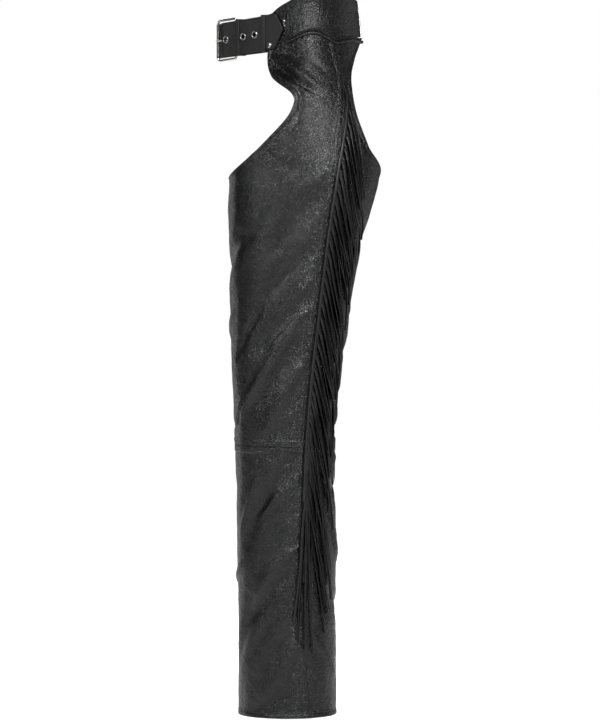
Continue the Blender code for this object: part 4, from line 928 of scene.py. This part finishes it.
def buildStrap(name, points, half, thickness, pulls, material, group, stitchColumns=True, rounding=6):
    line = denseLine(points, rounding)
    lengths = np.concatenate([[0.0], np.cumsum(np.linalg.norm(np.diff(line, axis=0), axis=1))])
    edge = np.array([0, .0002, .0005, .0009, .0016, .0024, .0030, .0036, .0046])
    rises = np.concatenate([-half + edge, np.linspace(-half + .0085, half - .0085, 9), half - edge[::-1]])
    endSteps = np.array([0, .0002, .0005, .0009, .0016, .0024, .0030, .0036, .0046])
    along = spread(lengths[-1], endSteps, endSteps, 0.0024)
    startPull = np.interp(rises, *pulls[0])
    endPull = np.interp(rises, *pulls[1])
    reach = 0.040
    grid = along[None, :] + startPull[:, None] * np.clip(1 - along / reach, 0, 1)[None, :]
    grid = grid - endPull[:, None] * np.clip(1 - (lengths[-1] - along) / reach, 0, 1)[None, :]
    place = np.stack([np.interp(grid, lengths, line[:, i]) for i in range(3)], -1)
    tangent = np.stack([np.interp(grid, lengths, np.gradient(line[:, i])) for i in range(3)], -1)
    tangent[..., 2] = 0
    tangent = unit(tangent)
    aside = np.stack([tangent[..., 1], -tangent[..., 0], np.zeros(tangent.shape[:2])], -1)
    place[..., 2] += rises[:, None]
    distance = np.minimum(np.minimum(rises + half, half - rises)[:, None], np.minimum(along, lengths[-1] - along)[None, :])
    thin = np.sqrt(np.clip(distance / belt["edgeRound"], 0, 1) * (2 - np.clip(distance / belt["edgeRound"], 0, 1)))
    form = thickness / 2 * (0.45 + 0.55 * thin)
    dent = 0.00022 * np.exp(-((distance - belt["stitchIn"]) / 0.0006) ** 2)
    outer = place + aside * (form - dent)[..., None]
    inner = place - aside * form[..., None]
    # painted shade: this relief darkens the colour at the rounded edges and in the stitch dents
    piece = wallPiece(name, outer, inner, (0.3 * thin - dent * 3000), material, 1.0)
    if stitchColumns:
        row = 6
        stitchRow(group, outer[row, 6:-6], aside[row, 6:-6])
        stitchRow(group, outer[-1 - row, 6:-6], aside[-1 - row, 6:-6])
        stitchRow(group, outer[row:-row, 6], aside[row:-row, 6])
    return piece


def cutWith(piece, cutter):
    deselectAll()
    bpy.context.view_layer.objects.active = piece
    piece.select_set(True)
    modifier = piece.modifiers.new("cut", "BOOLEAN")
    modifier.operation = "DIFFERENCE"
    modifier.solver = "EXACT"
    modifier.object = cutter
    bpy.ops.object.modifier_apply(modifier="cut")
    bpy.data.objects.remove(cutter, do_unlink=True)


def beltCutter(run, out, size, roundBar):
    deselectAll()
    if roundBar:
        bpy.ops.mesh.primitive_cylinder_add(vertices=28, radius=size[0], depth=size[1], rotation=(math.radians(90), 0, 0))
    else:
        bpy.ops.mesh.primitive_cube_add(size=1, scale=size)
    cutter = bpy.context.object
    bpy.ops.object.transform_apply(location=True, rotation=True, scale=True)
    cutter.data.transform(beltMatrix(run, out))
    return cutter


leftLine = [beltPlace(run, out) for run, out in belt["tonguePath"]]
level = leftLine[-1][2]
bellyLine = [np.array([0.0, belt["bellyFront"], level]),
             np.array([belt["bellyCorner"][0], belt["bellyFront"] + belt["bellyCorner"][1], level])]
rightLine = [beltPlace(run, belt["tongueOut"]) * np.array([-1, 1, 1]) for run in belt["rightRuns"]]
tipShape = (belt["tipRises"], belt["tipPulls"])
tongue = buildStrap("tongueStrapLeather", leftLine + bellyLine + rightLine, belt["tongueHalf"],
                    belt["tongueThickness"], (tipShape, tipShape), strapLeather, "belt", rounding=4)
eyelets = {"runs": (0.0955, 0.1187, 0.1542), "ring": 0.0047, "tube": 0.00075, "flatten": 0.8, "hole": 0.0039}
for run in eyelets["runs"]:
    cutWith(tongue, beltCutter(run, belt["tongueOut"], (eyelets["hole"], 0.010), True))
cutWith(tongue, beltCutter(0.1666, 0.0, (0.0092, 0.0120, 0.0046), False))
finishPiece(tongue, "black_leather", "tongue_strap")

turned = [beltPlace(belt["barRun"] + belt["turnRadius"] * math.sin(math.pi * i / 10),
                    belt["barOut"] + belt["turnRadius"] * math.cos(math.pi * i / 10)) for i in range(11)]
strapLine = [beltPlace(*row) for row in belt["strapFace"]] + turned + [beltPlace(*row) for row in belt["strapBack"]]
square = ((-1.0, 1.0), (0.0, 0.0))
buckleStrap = buildStrap("buckleStrapLeather", strapLine, belt["strapHalf"], belt["strapThickness"],
                         (square, square), strapLeather, "belt", stitchColumns=False, rounding=1)
cutWith(buckleStrap, beltCutter(0.1420, -0.0051, (0.0150, 0.0240, 0.0056), False))
finishPiece(buckleStrap, "black_leather", "buckle_strap")
beltStitches = finishPiece(sewThreads("belt", "beltStitches", 1.0), "black_leather")
print("belt straps made")


# ---- keepers, buckle, eyelets and studs ----

keepers = {
    "keeper_front": {"run": 0.1291, "width": 0.0068, "slant": -0.04, "inside": -0.0081},
    "keeper_rear": {"run": 0.0771, "width": 0.0088, "slant": 0.0, "inside": -0.0043},
    "outside": 0.0042, "half": 0.0263, "thickness": 0.0013,
}


def buildKeeper(node):
    # a loop of strap leather: a flat outline, its corners rounded, drawn out to a band
    keeper = keepers[node]
    depth = keepers["outside"] - keeper["inside"]
    deselectAll()
    bpy.ops.mesh.primitive_plane_add(size=1, rotation=(0, math.radians(90), 0))
    piece = bpy.context.object
    piece.name = "frontKeeperLoop" if node == "keeper_front" else "rearKeeperLoop"
    piece.scale = (2 * keepers["half"], depth, 1)
    bpy.ops.object.transform_apply(location=True, rotation=True, scale=True)
    bpy.ops.object.mode_set(mode="EDIT")
    bpy.ops.mesh.select_all(action="SELECT")
    bpy.ops.mesh.bevel(offset=0.0009, segments=3, affect="VERTICES")
    bpy.ops.mesh.select_all(action="SELECT")
    bpy.ops.mesh.delete(type="ONLY_FACE")
    bpy.ops.mesh.select_all(action="SELECT")
    bpy.ops.mesh.extrude_region_move(TRANSFORM_OT_translate={"value": (keeper["width"], 0, 0)})
    bpy.ops.mesh.select_all(action="SELECT")
    bpy.ops.mesh.subdivide(number_cuts=3)
    bpy.ops.mesh.normals_make_consistent(inside=False)
    bpy.ops.object.mode_set(mode="OBJECT")
    for vertex in piece.data.vertices:
        vertex.co.x += -keeper["width"] / 2 - keeper["slant"] * vertex.co.z
        vertex.co.y += (keepers["outside"] + keeper["inside"]) / 2
    outward = sum(face.normal.dot(Vector((0, face.center.y - (keepers["outside"] + keeper["inside"]) / 2, face.center.z)))
                  for face in piece.data.polygons)
    if outward < 0:
        piece.data.flip_normals()
    for kind, settings in (("SOLIDIFY", {"thickness": keepers["thickness"], "offset": 1.0, "use_even_offset": True}),
                           ("BEVEL", {"width": 0.00035, "segments": 2, "limit_method": "ANGLE"})):
        modifier = piece.modifiers.new(kind, kind)
        for key, value in settings.items():
            setattr(modifier, key, value)
        bpy.ops.object.modifier_apply(modifier=kind)
    piece.data.transform(beltMatrix(keeper["run"], 0.0))
    piece.data.materials.append(strapLeather)
    piece.data.attributes.new("relief", "FLOAT", "POINT")
    bpy.ops.object.shade_smooth_by_angle(angle=math.radians(40))
    return finishPiece(piece, "black_leather", node)


for node in ("keeper_front", "keeper_rear"):
    buildKeeper(node)

buckle = {
    "frontRun": 0.1743, "frontOut": -0.0008, "halfHeight": 0.0302, "corner": 0.0045,
    "prong": [(0.1761, 0.0028), (0.1703, 0.0014), (0.1643, -0.0003)], "prongRadius": 0.0013,
    "prongWrap": 0.0034, "prongStart": 18, "prongTurn": 250,
}


def buildBuckleFrame():
    # a rounded rectangle bent from round bar
    length = buckle["frontRun"] - belt["barRun"]
    deselectAll()
    bpy.ops.mesh.primitive_plane_add(size=1, location=(length / 2, 0, 0), rotation=(math.radians(90), 0, 0))
    piece = bpy.context.object
    piece.name = "buckleFrameBar"
    piece.scale = (length, 2 * buckle["halfHeight"], 1)
    bpy.ops.object.transform_apply(location=True, rotation=True, scale=True)
    bpy.ops.object.mode_set(mode="EDIT")
    bpy.ops.mesh.select_all(action="SELECT")
    bpy.ops.mesh.bevel(offset=buckle["corner"], segments=8, affect="VERTICES")
    bpy.ops.mesh.select_all(action="SELECT")
    bpy.ops.mesh.delete(type="ONLY_FACE")
    bpy.ops.object.mode_set(mode="OBJECT")
    for vertex in piece.data.vertices:
        vertex.co.y = belt["barOut"] + vertex.co.x / length * (buckle["frontOut"] - belt["barOut"])
    piece.data.transform(beltMatrix(belt["barRun"], 0.0))
    # the belt's own slope
    for vertex in piece.data.vertices:
        run = (Vector(vertex.co) - Vector(beltPlace(belt["barRun"], 0.0))).dot(Vector(beltAlong))
        vertex.co.z += belt["drop"] * run
    bpy.ops.object.convert(target="CURVE")
    piece = bpy.context.object
    piece.data.bevel_depth = belt["barRadius"]
    piece.data.bevel_resolution = 4
    bpy.ops.object.convert(target="MESH")
    piece = bpy.context.object
    piece.data.materials.clear()
    piece.data.materials.append(nickel)
    bpy.ops.object.shade_smooth()
    return finishPiece(piece, "nickel", "buckle_frame")


def buildProng():
    # a bar bent round the frame's inner bar, thinner towards its tip
    places = [beltPlace(*row) for row in buckle["prong"]]
    for step in range(13):
        turn = math.radians(buckle["prongStart"] - buckle["prongTurn"] * step / 12)
        places.append(beltPlace(belt["barRun"] + buckle["prongWrap"] * math.sin(turn),
                                belt["barOut"] + buckle["prongWrap"] * math.cos(turn)))
    deselectAll()
    bpy.ops.curve.primitive_nurbs_path_add()
    piece = bpy.context.object
    piece.name = "bucklePin"
    curve = piece.data
    curve.splines.clear()
    spline = curve.splines.new("NURBS")
    spline.points.add(len(places) - 1)
    for number, (point, place) in enumerate(zip(spline.points, places)):
        point.co = (*place, 1.0)
        point.radius = (0.72, 0.9)[number] if number < 2 else 1.0
    spline.use_endpoint_u = True
    spline.order_u = 3
    curve.bevel_depth = buckle["prongRadius"]
    curve.bevel_resolution = 4
    curve.use_fill_caps = True
    bpy.ops.object.convert(target="MESH")
    piece = bpy.context.object
    piece.data.materials.clear()
    piece.data.materials.append(nickel)
    bpy.ops.object.shade_smooth_by_angle(angle=math.radians(50))
    return finishPiece(piece, "nickel", "buckle_prong")


buildBuckleFrame()
buildProng()


def ringPiece(name, matrix, stretch, side=1.0):
    # a pressed eyelet's rolled rim
    deselectAll()
    bpy.ops.mesh.primitive_torus_add(major_radius=eyelets["ring"], minor_radius=eyelets["tube"],
                                     major_segments=40, minor_segments=12)
    piece = bpy.context.object
    piece.name = name
    piece.data.transform(Matrix.Diagonal((*stretch, 1.0)))
    piece.data.transform(matrix)
    if side < 0:
        piece.data.flip_normals()
    piece.data.materials.append(nickel)
    bpy.ops.object.shade_smooth()
    return piece


turn90 = Matrix.Rotation(math.radians(90), 4, "X")
for number, run in enumerate(eyelets["runs"]):
    tongueTable = np.array(belt["tonguePath"])
    surface = float(np.interp(run + eyelets["ring"], tongueTable[:, 0], tongueTable[:, 1])) + belt["tongueThickness"] / 2 + 0.0003
    matrix = beltMatrix(run, surface + eyelets["tube"] * eyelets["flatten"] - 0.0004) @ turn90
    ring = ringPiece(f"beltEyelet{number + 1}", matrix, (1.0, 1.0, eyelets["flatten"]))
    finishPiece(ring, "nickel", f"eyelet_{number + 1}")

studs = {"run": 0.0644, "drop": -0.0195, "radius": 0.0040, "dome": 0.0014}
creaseEyelet = {"angle": 3.6, "height": -0.0088, "narrow": 0.3}
for sideName, side in sides.items():
    mirror = Matrix.Diagonal((side, 1.0, 1.0, 1.0))
    matrix = mirror @ beltMatrix(studs["run"], belt["tongueOut"] + belt["tongueThickness"] / 2 + 0.0003 + studs["dome"] - 0.0003, studs["drop"])
    deselectAll()
    bpy.ops.mesh.primitive_uv_sphere_add(segments=36, ring_count=18, radius=1.0)
    stud = bpy.context.object
    stud.name = f"{sideName}StudCap"
    stud.data.transform(Matrix.Diagonal((studs["radius"], studs["dome"], studs["radius"], 1.0)))
    stud.data.transform(matrix)
    if side < 0:
        stud.data.flip_normals()
    stud.data.materials.append(nickel)
    bpy.ops.object.shade_smooth()
    finishPiece(stud, "nickel", f"{sideName}_stud")
    place = formPlace(creaseEyelet["angle"], creaseEyelet["height"])
    normal = Vector(formNormal(creaseEyelet["angle"], creaseEyelet["height"]))
    place = Vector(place) + normal * (0.0006 + 0.0003 + eyelets["tube"] * eyelets["flatten"])
    across = Vector((0, 0, 1)).cross(normal).normalized()
    axes = Matrix((across, normal.cross(across), normal)).transposed().to_4x4()
    ring = ringPiece(f"{sideName}SlotEyelet", mirror @ Matrix.Translation(place) @ axes,
                     (creaseEyelet["narrow"], 1.0, eyelets["flatten"]), side)
    finishPiece(ring, "nickel", f"{sideName}_crease_eyelet")
print("buckle and small metal made")


# ---- floor, light and camera ----

studio = {
    "floorHeight": -1.062, "target": (0.1, 0.0, -0.5),
    # name, place, width, height, watts
    "lights": [
        ("keyBox", (1.4, -1.6, 0.60), 0.4, 0.6, 23),
        ("cameraBox", (2.4, 1.15, 0.95), 0.45, 0.45, 70),
        ("overhead", (1.0, 0.1, 1.9), 0.4, 0.4, 12),
        ("frontRim", (-2.4, -1.5, -0.4), 0.5, 2.2, 6),
        ("backRim", (-1.9, 2.2, 0.1), 0.5, 1.8, 4),
        # behind the garment as the photo sees it, so that its far side reads too
        ("farSide", (-2.5, 0.25, 0.5), 0.5, 1.2, 46),
        ("farFront", (-2.7, -0.4, 0.3), 0.3, 1.0, 8),
    ],
    "worldLight": 0.038, "floorLight": 0.028,
}
bpy.context.scene.view_settings.view_transform = "Standard"

deselectAll()
bpy.ops.mesh.primitive_plane_add(size=14, location=(0, 0, studio["floorHeight"]))
floor = bpy.context.object
floor.name = "paleFloor"
floorPaint, floorTree, floorShader = newMaterial("matteWhitePaint")   # studio paint, no gloss
floorShader.inputs["Base Color"].default_value = linear("#f4f4f4")
floorShader.inputs["Roughness"].default_value = 0.9
floorShader.inputs["Emission Color"].default_value = (1, 1, 1, 1)
floorSeen = addNode(floorTree, "ShaderNodeLightPath").outputs["Is Camera Ray"]
floorGlow = addNode(floorTree, "ShaderNodeMapRange", {}, {"Value": floorSeen, "To Min": studio["floorLight"], "To Max": 1.0})
floorTree.links.new(floorGlow.outputs[0], floorShader.inputs["Emission Strength"])
floor.data.materials.append(floorPaint)

for name, place, width, height, watts in studio["lights"]:
    light = bpy.data.lights.new(name, "AREA")
    light.shape = "RECTANGLE"
    light.size, light.size_y = width, height
    light.energy = watts
    lamp = bpy.data.objects.new(name, light)
    lamp.location = place
    lamp.rotation_euler = (Vector(studio["target"]) - Vector(place)).to_track_quat("-Z", "Y").to_euler()
    lamp.visible_camera = False
    bpy.context.scene.collection.objects.link(lamp)

world = bpy.data.worlds.new("softWhiteRoom")
bpy.context.scene.world = world
world.use_nodes = True
sky = world.node_tree
sky.nodes["Background"].inputs["Color"].default_value = (1, 1, 1, 1)
seen = addNode(sky, "ShaderNodeLightPath").outputs["Is Camera Ray"]
strength = addNode(sky, "ShaderNodeMapRange", {}, {"Value": seen, "To Min": studio["worldLight"], "To Max": 1.0})
sky.links.new(strength.outputs[0], sky.nodes["Background"].inputs["Strength"])

cameraData = bpy.data.cameras.new("photoCamera")
cameraData.lens = 230.24
cameraData.sensor_width = 36
cameraData.clip_end = 50
camera = bpy.data.objects.new("photoCamera", cameraData)
camera.location = (7.0, 0.0153, -0.2)
camera.rotation_euler = (math.radians(90 - 2.597), 0, math.radians(90))
bpy.context.scene.collection.objects.link(camera)
bpy.context.scene.camera = camera
print("floor, light and camera set")
